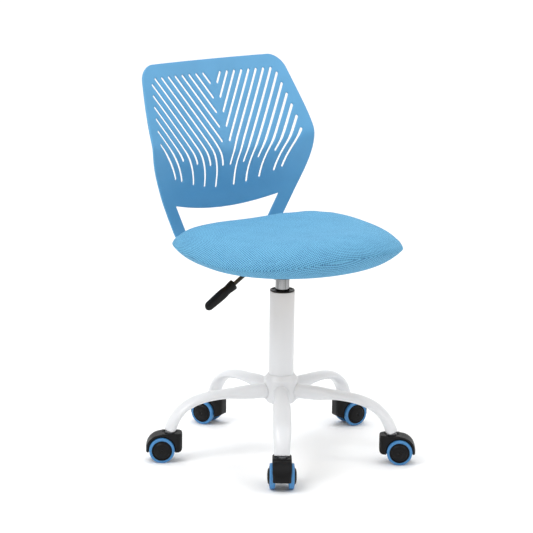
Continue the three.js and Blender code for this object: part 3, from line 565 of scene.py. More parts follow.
def make_piece(name, mesh, body, slot, nodes=None):
    return finish_piece(name, mesh, body, MATERIALS[slot], nodes or ())


# ---------- backrest ----------
def back_half_width(s, z):
    """Half width of the sheet: two side tapers met by a soft corner, less the round upper corners."""
    above = s.taper_half - s.taper_up * (z - s.widest)
    below = s.taper_half + s.taper_down * (z - s.widest)
    into_corner = np.clip(z - (high("backrest")[2] - s.corner), 0, s.corner)
    return soft_min(above, below, s.side_round) - (s.corner - np.sqrt(s.corner ** 2 - into_corner ** 2))


def back_front(s, x, z):
    """Front face behind the swivel axis: two slopes met in a crease that rises and comes forward at
    the sides."""
    q = (x / s.cup_half) ** 2
    above_crease = soft_max(z, s.upright_top, s.softness) - (s.knee + s.knee_rise * q)
    upper = (s.upper_slope + s.upper_gain * q) * above_crease
    lower = (s.lower_loss * q - s.lower_slope) * above_crease
    return s.knee_reach - s.cup * q + soft_max(upper, lower, s.softness)


def sheet_point(s, x, run):
    """Front face at width x and length run along the sheet: run is the height down to the bend, and below
    it follows a quarter turn and then the level foot."""
    floor = high("seat_plate")[2]
    bend_top = floor + s.bend
    quarter = s.bend * math.pi / 2
    angle = np.clip((bend_top - run) / s.bend, 0, math.pi / 2)
    foot = np.clip(bend_top - quarter - run, 0, None)
    centre = back_front(s, x, np.maximum(run, bend_top)) - s.bend
    y = centre + s.bend * np.cos(angle) - foot
    z = np.where(run >= bend_top, run, bend_top - s.bend * np.sin(angle))
    return np.stack([x, y, z], -1)


def sheet_place(s, flat, depth):
    """A point of the sheet at a depth behind its front face, square to that face."""
    x, run = flat[:, 0], flat[:, 1]
    step = 0.2 * MM
    across = sheet_point(s, x + step, run) - sheet_point(s, x - step, run)
    along = sheet_point(s, x, run + step) - sheet_point(s, x, run - step)
    normal = np.cross(across, along)
    normal /= np.linalg.norm(normal, axis=1)[:, None]
    return sheet_point(s, x, run) - normal * depth


def even_loop(points, spacing, soft):
    """A closed outline resampled at an even spacing, its corners softened by a moving average."""
    closed = np.vstack([points, points[:1]])
    along = np.concatenate([[0], np.cumsum(np.linalg.norm(np.diff(closed, axis=0), axis=1))])
    fine = np.arange(0, along[-1], 0.5 * MM)
    loop = np.stack([np.interp(fine, along, closed[:, axis]) for axis in (0, 1)], -1)
    reach = max(int(soft / (0.5 * MM)), 1)
    weights = np.hanning(2 * reach + 3)
    padded = np.vstack([loop[-reach - 1:], loop, loop[:reach + 1]])
    loop = np.stack([np.convolve(padded[:, axis], weights / weights.sum(), "valid") for axis in (0, 1)], -1)
    return loop[::max(int(spacing / (0.5 * MM)), 1)]


def outward(loop):
    """Unit vectors square to a closed loop, to its right."""
    along = np.roll(loop, -1, 0) - np.roll(loop, 1, 0)
    along /= np.linalg.norm(along, axis=1)[:, None]
    return np.stack([along[:, 1], -along[:, 0]], -1)


def sheet_outline(s):
    """Anticlockwise outline of the flat sheet: up the right side, over the top, down the left, and round
    the opening between the two uprights."""
    floor = high("seat_plate")[2]
    bend_top = floor + s.bend
    foot_end = bend_top - s.bend * math.pi / 2 - s.foot
    top = high("backrest")[2]
    round_part = top - s.corner + s.corner * np.sin(np.linspace(0, math.pi / 2, 24))
    side = np.concatenate([[foot_end], np.linspace(floor, top - s.corner, 120), round_part[1:]])
    right = np.stack([back_half_width(s, np.maximum(side, floor)), side], -1)
    inner_rise = np.linspace(floor, s.window_top, 30)
    inner = np.stack([s.window_half - s.window_taper * (s.window_top - inner_rise), inner_rise], -1)
    inner = np.vstack([[inner[0, 0], foot_end], inner])
    x = np.linspace(1, -1, 60)[1:-1]
    sag = np.stack([x * s.window_half, s.window_top - s.window_sag * (1 - x ** 2)], -1)
    mirror = np.array([-1, 1])
    return np.vstack([right, right[::-1] * mirror, inner * mirror, sag[::-1], inner[::-1]])


def slot_middle(s, k, z):
    """Middle line of slot k: slanting in towards the middle, then turning upright."""
    slanted = s.slot_first + s.slot_pitch * (k - 1) + s.slot_slope * (z - s.slot_top)
    below = np.maximum(s.turn_height - s.turn_step * (k - 1) - z, 0)
    turning = np.minimum(below, s.turn_length)
    return slanted + s.slot_slope * (turning ** 2 / (2 * s.turn_length) + below - turning)


def slot_ends(s, k):
    """Highest and lowest point of slot k."""
    z = np.arange(s.slot_top, s.window_top, -0.5 * MM)
    inside = slot_middle(s, k, z) <= back_half_width(s, z) - s.side_border
    top = z[np.argmax(inside)]
    if k <= s.straight:
        return top, s.slot_top - (s.slot_first + s.slot_pitch * (k - 1) - s.middle_border) / s.slot_slope
    end = s.short_end if k % 2 == 0 and k < s.slot_count else s.long_end
    return top, end + s.end_bow * slot_middle(s, k, end) ** 2


def slot_loop(s, k, side, grow):
    """Clockwise outline of a slot with round ends, grown by a margin on every side."""
    top, bottom = slot_ends(s, k)
    z = np.linspace(top, bottom, max(int((top - bottom) / (3 * MM)), 4))
    line = np.stack([side * slot_middle(s, k, z), z], -1)
    along = np.gradient(line, axis=0)
    along /= np.linalg.norm(along, axis=1)[:, None]
    across = np.stack([-along[:, 1], along[:, 0]], -1)
    half = s.slot_width / 2 + grow
    angle = np.linspace(0, math.pi, 9)[1:-1, None]
    foot_cap = line[-1] + half * (np.cos(angle) * across[-1] + np.sin(angle) * along[-1])
    head_cap = line[0] - half * (np.cos(angle) * across[0] + np.sin(angle) * along[0])
    loop = np.vstack([line + half * across, foot_cap, (line - half * across)[::-1], head_cap])
    area = np.sum(loop[:, 0] * np.roll(loop[:, 1], -1) - loop[:, 1] * np.roll(loop[:, 0], -1))
    return loop if area < 0 else loop[::-1]


def inside_loops(points, loops):
    """True where a point is inside an odd number of closed loops."""
    count = np.zeros(len(points), int)
    for loop in loops:
        a, b = loop, np.roll(loop, -1, 0)
        for start, stop in zip(a, b):
            crosses = (start[1] > points[:, 1]) != (stop[1] > points[:, 1])
            if not crosses.any():
                continue
            at = start[0] + (points[:, 1] - start[1]) / (stop[1] - start[1]) * (stop[0] - start[0])
            count += crosses & (points[:, 0] < at)
    return count % 2 == 1


def flat_region(loops, spacing):
    """Triangles that fill the region between an outline and its holes: a staggered grid of points, with
    the loops as fixed edges."""
    low_corner, high_corner = loops[0].min(0), loops[0].max(0)
    rows = np.arange(low_corner[1], high_corner[1], spacing * math.sqrt(3) / 2)
    columns = np.arange(low_corner[0], high_corner[0], spacing)
    x, z = np.meshgrid(columns, rows)
    x = x + (np.arange(len(rows)) % 2)[:, None] * spacing / 2
    grid = np.stack([x.ravel(), z.ravel()], -1)
    grid = grid[inside_loops(grid, loops)]
    border = np.vstack(loops)
    near = np.full(len(grid), np.inf)
    for part in np.array_split(border, 40):
        near = np.minimum(near, np.linalg.norm(grid[:, None] - part[None], axis=2).min(1))
    grid = grid[near > 0.45 * spacing]
    edges, start = [], 0
    for loop in loops:
        edges += [(start + i, start + (i + 1) % len(loop)) for i in range(len(loop))]
        start += len(loop)
    points, _, faces, *_ = delaunay_2d_cdt(
        [tuple(p) for p in np.vstack([border, grid])], edges, [], 0, 1e-7)
    points = np.array([tuple(p) for p in points])
    faces = np.array(faces)
    return points, faces[inside_loops(points[faces].mean(1), loops)]


def build_backrest(context):
    s = context.scene.chair_backrest
    outline = even_loop(sheet_outline(s), 2.5 * MM, 2.5 * MM)
    inset = outline - outward(outline) * s.edge
    slots = [(k, side) for k in range(1, s.slot_count + 1) for side in (-1, 1)]
    loops = [inset] + [slot_loop(s, k, side, s.edge) for k, side in slots]
    flat, faces = flat_region(loops, s.spacing)
    front = sheet_place(s, flat, 0)
    back = sheet_place(s, flat, s.thickness)
    parts = [(front, faces), (back, faces[:, ::-1])]
    quarter = np.linspace(0, math.pi / 2, 4)
    offsets = np.concatenate([s.edge * np.sin(quarter), s.edge * np.sin(quarter)[::-1]])
    depths = np.concatenate([s.edge * (1 - np.cos(quarter)),
                             s.thickness - s.edge * (1 - np.cos(quarter))[::-1]])
    for loop in loops:
        away = outward(loop)
        rings = [sheet_place(s, loop + away * offset, depth) for offset, depth in zip(offsets, depths)]
        parts.append((np.array(rings), grid_faces(len(rings), len(loop), wrap=True)))
    triangles = [(points, [list(face) for face in part_faces]) for points, part_faces in parts]
    points, polygons, count = [], [], 0
    for some_points, some_faces in triangles:
        moved = np.asarray(some_points).reshape(-1, 3) + AXIS
        points += moved.tolist()
        polygons += [[corner + count for corner in face] for face in some_faces]
        count = len(points)
    mesh = bpy.data.meshes.new("slotted_back")
    mesh.from_pydata(points, [], polygons)
    make_piece("slotted_back", mesh, "seat", "blue_back", ["backrest"])


# ---------- cushion ----------
def seat_outline(s, angle):
    """Radius of the seat's outline at an angle, as a share of its half width and half depth."""
    power = np.where(np.sin(angle) > 0, s.rear_power, s.front_power)
    return (np.abs(np.cos(angle)) ** power + np.abs(np.sin(angle)) ** power) ** (-1 / power)


def seat_edge(s, x, y, half, centre):
    """Height of the seat's edge line, carried over the whole seat."""
    along = (y - centre[1]) / half[1]
    across = ((x - centre[0]) / half[0]) ** 2
    corner = -s.front_corner_drop + (s.rear_corner_rise + s.front_corner_drop) * np.clip((along + 1) / 2, 0,
                                                                                         1)
    return s.rim + s.front_rise * np.minimum(along, 0) ** 2 + corner * across


def disc_grid(cells):
    """A square grid bent to a disc, as radius from 0 to 1 and angle."""
    line = np.linspace(-1, 1, cells + 1)
    u, v = np.meshgrid(line, line, indexing="ij")
    x, y = u * np.sqrt(1 - v ** 2 / 2), v * np.sqrt(1 - u ** 2 / 2)
    return np.hypot(x, y), np.arctan2(y, x)


def seat_surface(s, upper, shrink):
    """One face of the cushion over a disc grid. The upper face is a flat crown that falls to the edge,
    and the
    lower one a cone down to the board with a recess that the board fits in."""
    centre = (low("seat_cushion") + high("seat_cushion")) / 2
    half = (high("seat_cushion") - low("seat_cushion")) / 2 - shrink
    under = low("seat_board")[2] + s.under_lift
    recess = high("seat_board")[2] + 0.6 * MM
    radius, angle = disc_grid(s.rings)
    if upper:
        share = 1 - np.clip(1 - radius, 0, 1) ** 1.6
    else:
        wall = s.board_share + 0.012
        share = np.interp(radius, [0, 0.5, 0.53, 0.56, 1], [0, wall - 0.004, wall, s.board_share + 0.02, 1])
    reach = seat_outline(s, angle) * share
    x = centre[0] + half[0] * reach * np.cos(angle)
    y = centre[1] + half[1] * reach * np.sin(angle)
    edge = seat_edge(s, x, y, half, centre)
    if upper:
        z = edge + (s.crown - shrink) * (1 - np.clip(share, 0, 1) ** s.flatness) ** s.rounding
    else:
        fall = np.clip((share - s.board_share - 0.02) / (0.98 - s.board_share), 0, 1)
        z = edge - (edge - under) * (1 - fall ** s.roll) ** s.roll_fullness
        z = np.where(radius < 0.545, recess, z)
    return np.stack([x, y, z], -1), radius, angle, share


def cloth_coordinates(points, radius, angle, start):
    """Cloth laid flat: distance along the cover from the middle of the seat, in the direction of the
    angle."""
    n = points.shape[0] // 2
    spoke = points[n, n:]
    steps = np.concatenate([[0], np.cumsum(np.linalg.norm(np.diff(spoke, axis=0), axis=1))])
    distance = np.interp(radius, radius[n, n:], steps)
    if start is not None:
        distance = start - steps[-1] + distance
    return np.stack([distance * np.cos(angle), distance * np.sin(angle)], -1), steps[-1]


def swell(piece, pinned, cap):
    """Inflates the cover with the cloth solver, and lets no point move further than the cap."""
    scene = bpy.context.scene
    mesh = piece.data
    group = piece.vertex_groups.new(name="held")
    group.add(np.nonzero(pinned)[0].tolist(), 1.0, "REPLACE")
    start = np.empty(len(mesh.vertices) * 3)
    mesh.vertices.foreach_get("co", start)
    cloth = piece.modifiers.new("cover", "CLOTH")
    cloth.settings.quality = 6
    cloth.settings.mass = 0.3
    cloth.settings.tension_stiffness = 18
    cloth.settings.compression_stiffness = 18
    cloth.settings.bending_stiffness = 1.5
    cloth.settings.use_pressure = True
    cloth.settings.uniform_pressure_force = 4
    cloth.settings.effector_weights.gravity = 0
    cloth.settings.vertex_group_mass = "held"
    cloth.collision_settings.use_collision = False
    cloth.point_cache.frame_end = 20
    for step in range(1, 21):
        scene.frame_set(step)
    solved = piece.evaluated_get(bpy.context.evaluated_depsgraph_get()).to_mesh()
    end = np.empty(len(start))
    solved.vertices.foreach_get("co", end)
    piece.modifiers.clear()
    scene.frame_set(1)
    move = (end - start).reshape(-1, 3)
    far = np.linalg.norm(move, axis=1)
    move *= (np.minimum(far, cap) / np.maximum(far, 1e-9))[:, None]
    mesh.vertices.foreach_set("co", (start.reshape(-1, 3) + move).ravel())
    mesh.update()


def build_cushion(context):
    s = context.scene.chair_cushion
    top, radius, angle, _ = seat_surface(s, True, -s.proud)
    under, _, _, _ = seat_surface(s, False, -s.proud)
    top_cloth, reach = cloth_coordinates(top, radius, angle, None)
    under_cloth, _ = cloth_coordinates(under, radius, angle, reach)
    n = s.rings + 1
    faces = grid_faces(n, n)
    points = np.concatenate([top.reshape(-1, 3), under.reshape(-1, 3)])
    cloth = np.concatenate([top_cloth.reshape(-1, 2), under_cloth.reshape(-1, 2)])
    mesh = mesh_of("mesh_seat", points, np.concatenate([faces[:, ::-1], faces + n * n]))
    layer = mesh.uv_layers.new(name="cloth")
    corners = np.empty(len(mesh.loops), int)
    mesh.loops.foreach_get("vertex_index", corners)
    layer.data.foreach_set("uv", cloth[corners].ravel())
    piece = make_piece("mesh_seat", mesh, "seat", "blue_mesh", ["seat_cushion"])
    height = np.empty(len(piece.data.vertices) * 3)
    piece.data.vertices.foreach_get("co", height)
    held = height.reshape(-1, 3)[:, 2] < low("seat_board")[2] + s.under_lift + 10 * MM
    centre = (low("seat_cushion") + high("seat_cushion")) / 2
    half = (high("seat_cushion") - low("seat_cushion")) / 2
    across = (height.reshape(-1, 3) - centre) / half
    reach = np.hypot(across[:, 0], across[:, 1]) / seat_outline(s,
                                                                np.arctan2(across[:, 1], across[:, 0]))
    held = (held & (reach < s.board_share + 0.06)) | (reach > s.hold)
    swell(piece, held, s.swell)
    finer = piece.modifiers.new("Finer", "SUBSURF")
    finer.levels = finer.render_levels = 1


def build_board(context):
    """Plywood board: the seat's outline at a smaller scale, with its edges eased."""
    s = context.scene.chair_cushion
    bottom, top = low("seat_board"), high("seat_board")
    centre = (low("seat_cushion") + high("seat_cushion")) / 2
    half = (high("seat_cushion") - low("seat_cushion")) / 2 * s.board_share
    ease = 1.2 * MM
    angle = np.linspace(0, TURN, 160, endpoint=False)
    rim = seat_outline(s, angle)
    rings = []
    for share, drop, height in ((0, 0, bottom[2]), (0.5, 0, bottom[2]), (1, ease, bottom[2]),
                                (1, 0.3 * ease, bottom[2] + 0.3 * ease), (1, 0, bottom[2] + ease),
                                (1, 0, top[2] - ease), (1, 0.3 * ease, top[2] - 0.3 * ease),
                                (1, ease, top[2]), (0.5, 0, top[2]), (0, 0, top[2])):
        x = centre[0] + (half[0] * share - drop) * rim * np.cos(angle)
        y = centre[1] + (half[1] * share - drop) * rim * np.sin(angle)
        rings.append(np.stack([x, y, np.full_like(x, height)], -1))
    mesh = mesh_of("plywood_board", np.array(rings), grid_faces(len(rings), len(angle), wrap=True))
    piece = make_piece("plywood_board", mesh, "seat", "plywood", ["seat_board"])
    keep_edges(piece)


def keep_edges(piece, degrees=32):
    """Flat faces stay flat: normals are weighted by face area and broken at sharp edges."""
    piece.data.set_sharp_from_angle(angle=math.radians(degrees))
    weigh = piece.modifiers.new("Even shading", "WEIGHTED_NORMAL")
    weigh.keep_sharp = True


# ---------- base ----------
def lengthwise(points, count):
    """A path resampled at an even spacing."""
    along = np.concatenate([[0], np.cumsum(np.linalg.norm(np.diff(points, axis=0), axis=1))])
    at = np.linspace(0, along[-1], count)
    return np.stack([np.interp(at, along, points[:, i]) for i in range(3)], -1), at, along[-1]


def leg_shape(s, number):
    """A tube bent down to its caster, pressed oval between, with a weld bead at the hub. The path is a
    straight stretch and a cubic curve."""
    stem = np.array(RECORD_JOINTS[f"caster_swivel_{number}"]["pos_m"]) - AXIS
    reach = math.hypot(stem[0], stem[1])
    tip = low(f"leg_{number}")[2]
    hub = (high("base_hub")[0] - low("base_hub")[0]) / 2
    start = np.array([0.7 * hub, 0, s.height])
    bend = np.array([s.bend_start, 0, s.height])
    end = np.array([reach, 0, tip])
    pull = bend + (end - bend) * (s.bend_pull, 0, 1 - s.bend_pull)
    t = np.linspace(0, 1, 80)[:, None]
    curve = ((1 - t) ** 3 * bend + 3 * (1 - t) ** 2 * t * ((bend + end) / 2 * (1, 1, 0) + bend * (0, 0, 1))
             + 3 * (1 - t) * t ** 2 * pull + t ** 3 * end)
    path, at, whole = lengthwise(np.vstack([start[None], curve]), 96)
    flat = smooth_step(at, s.press_start - 10 * MM, s.press_end - 10 * MM)
    tail = smooth_step(at, whole - s.swell_start + 14 * MM, whole - s.swell_end + 14 * MM)

    def mixed(round_half, oval, last):
        return ((round_half + (oval - round_half) * flat) * (1 - tail) + last * tail) / 2

    bead = s.bead * np.exp(-((path[:, 0] - hub) / (2.6 * MM)) ** 2)
    points, _ = carried(path, np.array([0, -1.0, 0]), mixed(s.tube, s.flat_width, s.end_width) + bead,
                        mixed(s.tube, s.flat_height, s.end_height) + bead, sides=36)
    surface = np.sqrt(np.maximum((hub - 0.5 * MM) ** 2 - points[..., 1] ** 2, 0))
    points[..., 0] = np.where(points[..., 0] < reach / 2, np.maximum(points[..., 0], surface),
                              points[..., 0])
    tip_height = tip + 0.3 * MM
    last_rows = points[-14:]
    below = last_rows[..., 2] < tip_height
    last_rows[..., 2] = np.where(below, tip_height, last_rows[..., 2])
    first, last = points[:1].mean(1, keepdims=True), points[-1:].mean(1, keepdims=True)
    ring = points[-1:]
    rolled = last + (ring - last) * 0.93 - (0, 0, 0.9 * MM)
    points = np.concatenate([np.repeat(first, 36, 1), points, rolled,
                             np.repeat(last, 36, 1) + (0, 0, 4 * MM)])
    return points, math.atan2(stem[1], stem[0])


def build_legs(context):
    s = context.scene.chair_base
    for number in CASTERS:
        points, angle = leg_shape(s, number)
        mesh = mesh_of(f"bent_leg_{number}", placed(points, angle, AXIS),
                       grid_faces(len(points), 36, wrap=True))
        make_piece(f"bent_leg_{number}", mesh, "base", "white_steel", [f"leg_{number}"])


def build_hub(context):
    """Turned hub: a drum with rounded shoulders, welded to the column above and below."""
    lo, hi = low("base_hub"), high("base_hub")
    radius = (hi[0] - lo[0]) / 2
    tube = (high("column_tube")[0] - low("column_tube")[0]) / 2 + 0.3 * MM
    ring = tube + 1.7 * MM
    profile = rounded([(tube, lo[2], 0), (ring, lo[2], 0.6 * MM), (radius, lo[2] + 9 * MM, 6 * MM),
                       (radius, hi[2] - 9 * MM, 6 * MM), (ring, hi[2], 0.8 * MM), (tube, hi[2] + 0.8 * MM,
                                                                                   0.2 * MM),
                       (tube, lo[2], 0)], 6)
    points, faces = turned(profile, 96)
    make_piece("welded_hub", mesh_of("welded_hub", points + AXIS, faces), "base", "white_steel",
               ["base_hub"])


def build_column(context):
    """Column tube, its lower closing plate, and the black guide bush with a dished rim."""
    lo, hi = low("column_tube"), high("column_tube")
    radius, wall = (hi[0] - lo[0]) / 2, 2 * MM
    rod = 5.3 * MM
    profile = rounded([(rod, lo[2], 0), (radius, lo[2], 1.2 * MM), (radius, hi[2], 0.7 * MM),
                       (radius - wall, hi[2], 0.5 * MM), (radius - wall, lo[2] + 3 * MM, 1 * MM),
                       (rod, lo[2] + 3 * MM, 0.3 * MM), (rod, lo[2], 0)], 5)
    points, faces = turned(profile, 96)
    make_piece("column", mesh_of("column", points + AXIS, faces), "base", "white_steel", ["column_tube"])
    lo, hi = low("guide_bush"), high("guide_bush")
    rim = (hi[0] - lo[0]) / 2
    bore = (high("gas_cylinder")[0] - low("gas_cylinder")[0]) / 2 + 0.3 * MM
    sleeve = radius - wall - 0.3 * MM
    step = high("column_tube")[2] + 0.3 * MM
    profile = rounded([(bore, lo[2], 0.4 * MM), (sleeve, lo[2], 0.6 * MM), (sleeve, step, 0.2 * MM),
                       (rim, step, 0.4 * MM),
                       (rim, hi[2], 1 * MM), (rim - 2.4 * MM, hi[2], 0.8 * MM), (rim - 4.4 * MM,
                                                                                 step + 0.4 * MM, 1 * MM),
                       (bore + 2.4 * MM, step + 0.4 * MM, 0.8 * MM), (bore + 1 * MM, hi[2] - 0.6 * MM,
                                                                      0.5 * MM),
                       (bore, hi[2] - 0.8 * MM, 0.3 * MM), (bore, lo[2], 0.4 * MM)], 4)
    points, faces = turned(profile, 96)
    make_piece("dished_bush", mesh_of("dished_bush", points + AXIS, faces), "base", "black_acetal",
               ["guide_bush"])


def build_lift(context):
    """Chromed gas cylinder: a long tube with a rolled lower end, a rounded top and a bore there for the valve
    button.
    """
    lo, hi = low("gas_cylinder"), high("gas_cylinder")
    radius = (hi[0] - lo[0]) / 2
    button = (high("release_button")[0] - low("release_button")[0]) / 2 + 0.3 * MM
    rod = 5.3 * MM
    profile = rounded([(rod, lo[2], 0), (radius, lo[2], 2.5 * MM), (radius, hi[2] - 34 * MM, 0),
                       (radius, hi[2], 1.5 * MM), (button, hi[2], 0.6 * MM), (button, hi[2] - 9.5 * MM, 0),
                       (0, hi[2] - 9.5 * MM, 0)], 5)
    inside = rounded([(0, lo[2] + 6 * MM, 0), (rod, lo[2] + 6 * MM, 0), (rod, lo[2], 0)], 2)
    points, faces = turned(np.vstack([inside[:-1], profile]), 96)
    make_piece("chrome_cylinder", mesh_of("chrome_cylinder", points + AXIS, faces), "seat", "bright_steel",
               ["gas_cylinder"])
    lo, hi = low("release_button"), high("release_button")
    radius = (hi[0] - lo[0]) / 2
    profile = rounded([(0, lo[2], 0), (radius, lo[2], 0.5 * MM), (radius, hi[2], 1.4 * MM), (0, hi[2], 0)],
                      5)
    points, faces = turned(profile, 40)
    make_piece("valve_button", mesh_of("valve_button", points + AXIS, faces), "button", "zinc_steel",
               ["release_button"])


# ---------- casters ----------
def half_wheel(context):
    """Profiles of tread and core from the wheel's inner face out: (radius, distance out from the housing)."""
    s = context.scene.chair_caster
    radius, bore, core = 25 * MM, 4.3 * MM, 19.5 * MM
    inner, outer = s.spacing / 2, s.spacing / 2 + 10.5 * MM
    tread = rounded([(core + 0.3 * MM, inner, 0), (radius - 1 * MM, inner, 0.8 * MM),
                     (radius, inner + 2 * MM, 1.6 * MM), (radius, outer - 2 * MM, 1.6 * MM),
                     (radius - 1.2 * MM, outer, 0.9 * MM), (core + 1.1 * MM, outer + 0.2 * MM, 0.5 * MM),
                     (core + 0.3 * MM, outer - 0.3 * MM, 0.2 * MM), (core + 0.3 * MM, inner, 0)], 5)
    cap = rounded([(0, outer, 0), (bore, outer, 0), (bore, inner + 0.3 * MM, 0.4 * MM),
                   (core, inner + 0.3 * MM, 0.5 * MM), (core, outer + 0.5 * MM, 0.7 * MM),
                   (core - 1.6 * MM, outer + 0.9 * MM, 0.5 * MM),
                   (core - 2.1 * MM, outer + 0.2 * MM, 0.3 * MM),
                   (core - 2.9 * MM, outer + 0.5 * MM, 0.3 * MM),
                   (core - 5.5 * MM, outer + 3.4 * MM, 5 * MM),
                   (core - 12 * MM, outer + 4.5 * MM, 8 * MM), (3.4 * MM, outer + 4.8 * MM, 2 * MM),
                   (2.6 * MM, outer + 3.7 * MM, 0.6 * MM), (0, outer + 3.7 * MM, 0)], 5)
    return tread, cap


def build_wheels(context):
    tread, cap = half_wheel(context)
    for number in CASTERS:
        for side in SIDES:
            joint = RECORD_JOINTS[f"wheel_spin_{number}_{side}"]
            centre = np.array(joint["pos_m"])
            place = (low(f"tread_{number}_{side}") + high(f"tread_{number}_{side}")) / 2 - centre
            direction = place / np.linalg.norm(place)
            body = f"wheel_{number}_{side}"
            for kind, profile, slot, node in (("tyre", tread, "blue_tread", "tread"),
                                              ("disc", cap, "black_nylon", "wheel")):
                points, faces = turned(profile, 72)
                name = f"{kind}_{number}_{side}"
                make_piece(name, mesh_of(name, laid_along(points, direction, centre), faces), body, slot,
                           [f"{node}_{number}_{side}"])


def drum_shape(radius, first, last, sides=72):
    return turned(np.array([(0, first), (radius, first), (radius, last), (0, last)]), sides)


def solid_of(points, faces, name):
    """A temporary object for a cut, with closed poles."""
    mesh = mesh_of(name, points, faces)
    form = bmesh.new()
    form.from_mesh(mesh)
    bmesh.ops.remove_doubles(form, verts=form.verts, dist=0.004 * MM)
    bmesh.ops.dissolve_degenerate(form, edges=form.edges, dist=0.002 * MM)
    bmesh.ops.recalc_face_normals(form, faces=form.faces)
    form.to_mesh(mesh)
    form.free()
    solid = bpy.data.objects.new(name, mesh)
    bpy.context.scene.collection.objects.link(solid)
    return solid


def prism(outline, first, last):
    """A closed outline in two coordinates carried from first to last along the third, ends filled as fans."""
    middle = outline.mean(0)
    rings = [np.repeat(middle[None], len(outline), 0), outline, outline,
             np.repeat(middle[None], len(outline), 0)]
    heights = [first, first, last, last]
    points = np.array([np.column_stack([ring, np.full(len(ring), height)]) for ring,
                       height in zip(rings, heights)])
    return points, grid_faces(4, len(outline), wrap=True)


def housing_mesh(s):
    """Twin-wheel housing: the side outline crossed with the rounded plan, less both wheel pockets, the stem's
    bore and the dish, then softened on a fine voxel grid as a mould's edges are."""
    axle, trail = 25 * MM, 16 * MM
    half = s.width / 2
    back, bottom, top = trail - s.back, axle - s.drop, axle + s.rise
    first = math.asin(-s.drop / s.hood)
    hood = np.linspace(first, math.pi / 2, 40)
    arc = np.stack([trail + s.hood * np.cos(hood), axle + s.hood * np.sin(hood)], -1)
    block = rounded([(s.saddle, top, 0), (back, top, s.block_round / 2), (back, bottom, s.block_round),
                     (trail, bottom, 0)], 8)
    side_points, side_faces = prism(np.vstack([arc, block]), -half - 1 * MM, half + 1 * MM)
    side_points = side_points[..., [0, 2, 1]]
    front = trail + s.hood
    plan = rounded([(0, -half, 0), (front, -half, s.hood_corner), (front, half, s.hood_corner),
                    (back, half, s.block_corner), (back, -half, s.block_corner), (0, -half, 0)], 10)[:-1]
    plan_points, plan_faces = prism(plan, bottom - 1 * MM, top + 1 * MM)
    body = solid_of(side_points, side_faces, "housing_side")
    cutters = [(solid_of(plan_points, plan_faces, "housing_plan"), "INTERSECT")]
    wheel = 25 * MM + s.pocket
    for direction in (-1, 1):
        points, faces = drum_shape(wheel, s.spacing / 2 - 0.6 * MM, half + 2 * MM)
        cutters.append((solid_of(laid_along(points, (0, direction, 0), (trail, 0, axle)), faces, "pocket"),
                        "DIFFERENCE"))
    dish = rounded([(0, top - s.saddle_depth, 0), (s.saddle - 3 * MM, top - s.saddle_depth, 3 * MM),
                    (s.saddle + 1 * MM, top + 1 * MM, 0), (0, top + 1 * MM, 0)], 5)
    cutters.append((solid_of(*turned(dish, 48), "dish"), "DIFFERENCE"))
    cutters.append((solid_of(*drum_shape(6.6 * MM, top - 30 * MM, top, 48), "stem_bore"), "DIFFERENCE"))
    for cutter, operation in cutters:
        modifier = body.modifiers.new("Cut", "BOOLEAN")
        modifier.operation = operation
        modifier.object = cutter
        modifier.solver = "EXACT"
    remesh = body.modifiers.new("Softened", "REMESH")
    remesh.mode = "VOXEL"
    remesh.voxel_size = s.voxel
    relax = body.modifiers.new("Relaxed", "SMOOTH")
    relax.factor = 0.5
    relax.iterations = 5
    mesh = bpy.data.meshes.new_from_object(body.evaluated_get(bpy.context.evaluated_depsgraph_get()))
    for solid in [body] + [cutter for cutter, _ in cutters]:
        bpy.data.objects.remove(solid)
    return mesh


def build_housings(context):
    shape = housing_mesh(context.scene.chair_caster)
    for number in CASTERS:
        stem = np.array(RECORD_JOINTS[f"caster_swivel_{number}"]["pos_m"]) * (1, 1, 0)
        axle = np.array(RECORD_JOINTS[f"wheel_spin_{number}_left"]["pos_m"]) - stem
        mesh = shape.copy()
        mesh.transform(Matrix.Translation(stem) @ Matrix.Rotation(math.atan2(axle[1], axle[0]), 4, "Z"))
        make_piece(f"caster_hood_{number}", mesh, f"caster_{number}", "black_nylon",
                   [f"caster_housing_{number}"])


# ---------- lever, plate and fasteners ----------
def build_lever(context):
    """Bent rod with a flattened pivot boss and cross pin, and a moulded grip with a collar, waist and
    ribs."""
    s = context.scene.chair_lever
    pivot = np.array(RECORD_JOINTS["lever_lift"]["pos_m"])
    across = np.array([0, 1.0, 0])
    slope = math.radians(s.slope)
    down = np.array([-math.cos(slope), 0, -math.sin(slope)])
    knee = AXIS + (-s.knee, 0, pivot[2])
    end = knee + down * (s.tip - s.knee) / -down[0]
    t = np.linspace(0, 1, 14)[:, None]
    bend = ((1 - t) ** 2 * (knee + (s.knee_round, 0, 0)) + 2 * (1 - t) * t * knee
            + t ** 2 * (knee + down * s.knee_round))
    inner = AXIS + (s.inner, 0, pivot[2])
    path, at, whole = lengthwise(np.vstack([inner[None], bend, (end - down * (s.grip - s.bite))[None]]), 70)
    ends = np.sqrt(np.clip(1 - (1 - np.minimum(at, whole - at) / (1.2 * MM)).clip(0) ** 2, 0.0, 1))
    rod = carried(path, across, s.rod / 2 * ends, s.rod / 2 * ends)
    pin_half = (high("lever_rod")[1] - low("lever_rod")[1]) / 2
    parts = [rod]
    for radius, half, ease in ((s.boss / 2, s.rod / 2, 0.8 * MM), (s.pin / 2, pin_half, 0.5 * MM)):
        points, faces = turned(rounded([(0, -half, 0), (radius, -half, ease), (radius, half, ease),
                                        (0, half, 0)]), 40)
        parts.append((laid_along(points, across, pivot), faces))
    make_piece("bent_lever", merged("lever", parts), "lever", "black_steel", ["lever_rod"])
    build_grip(s, end - down * s.grip, end, across)


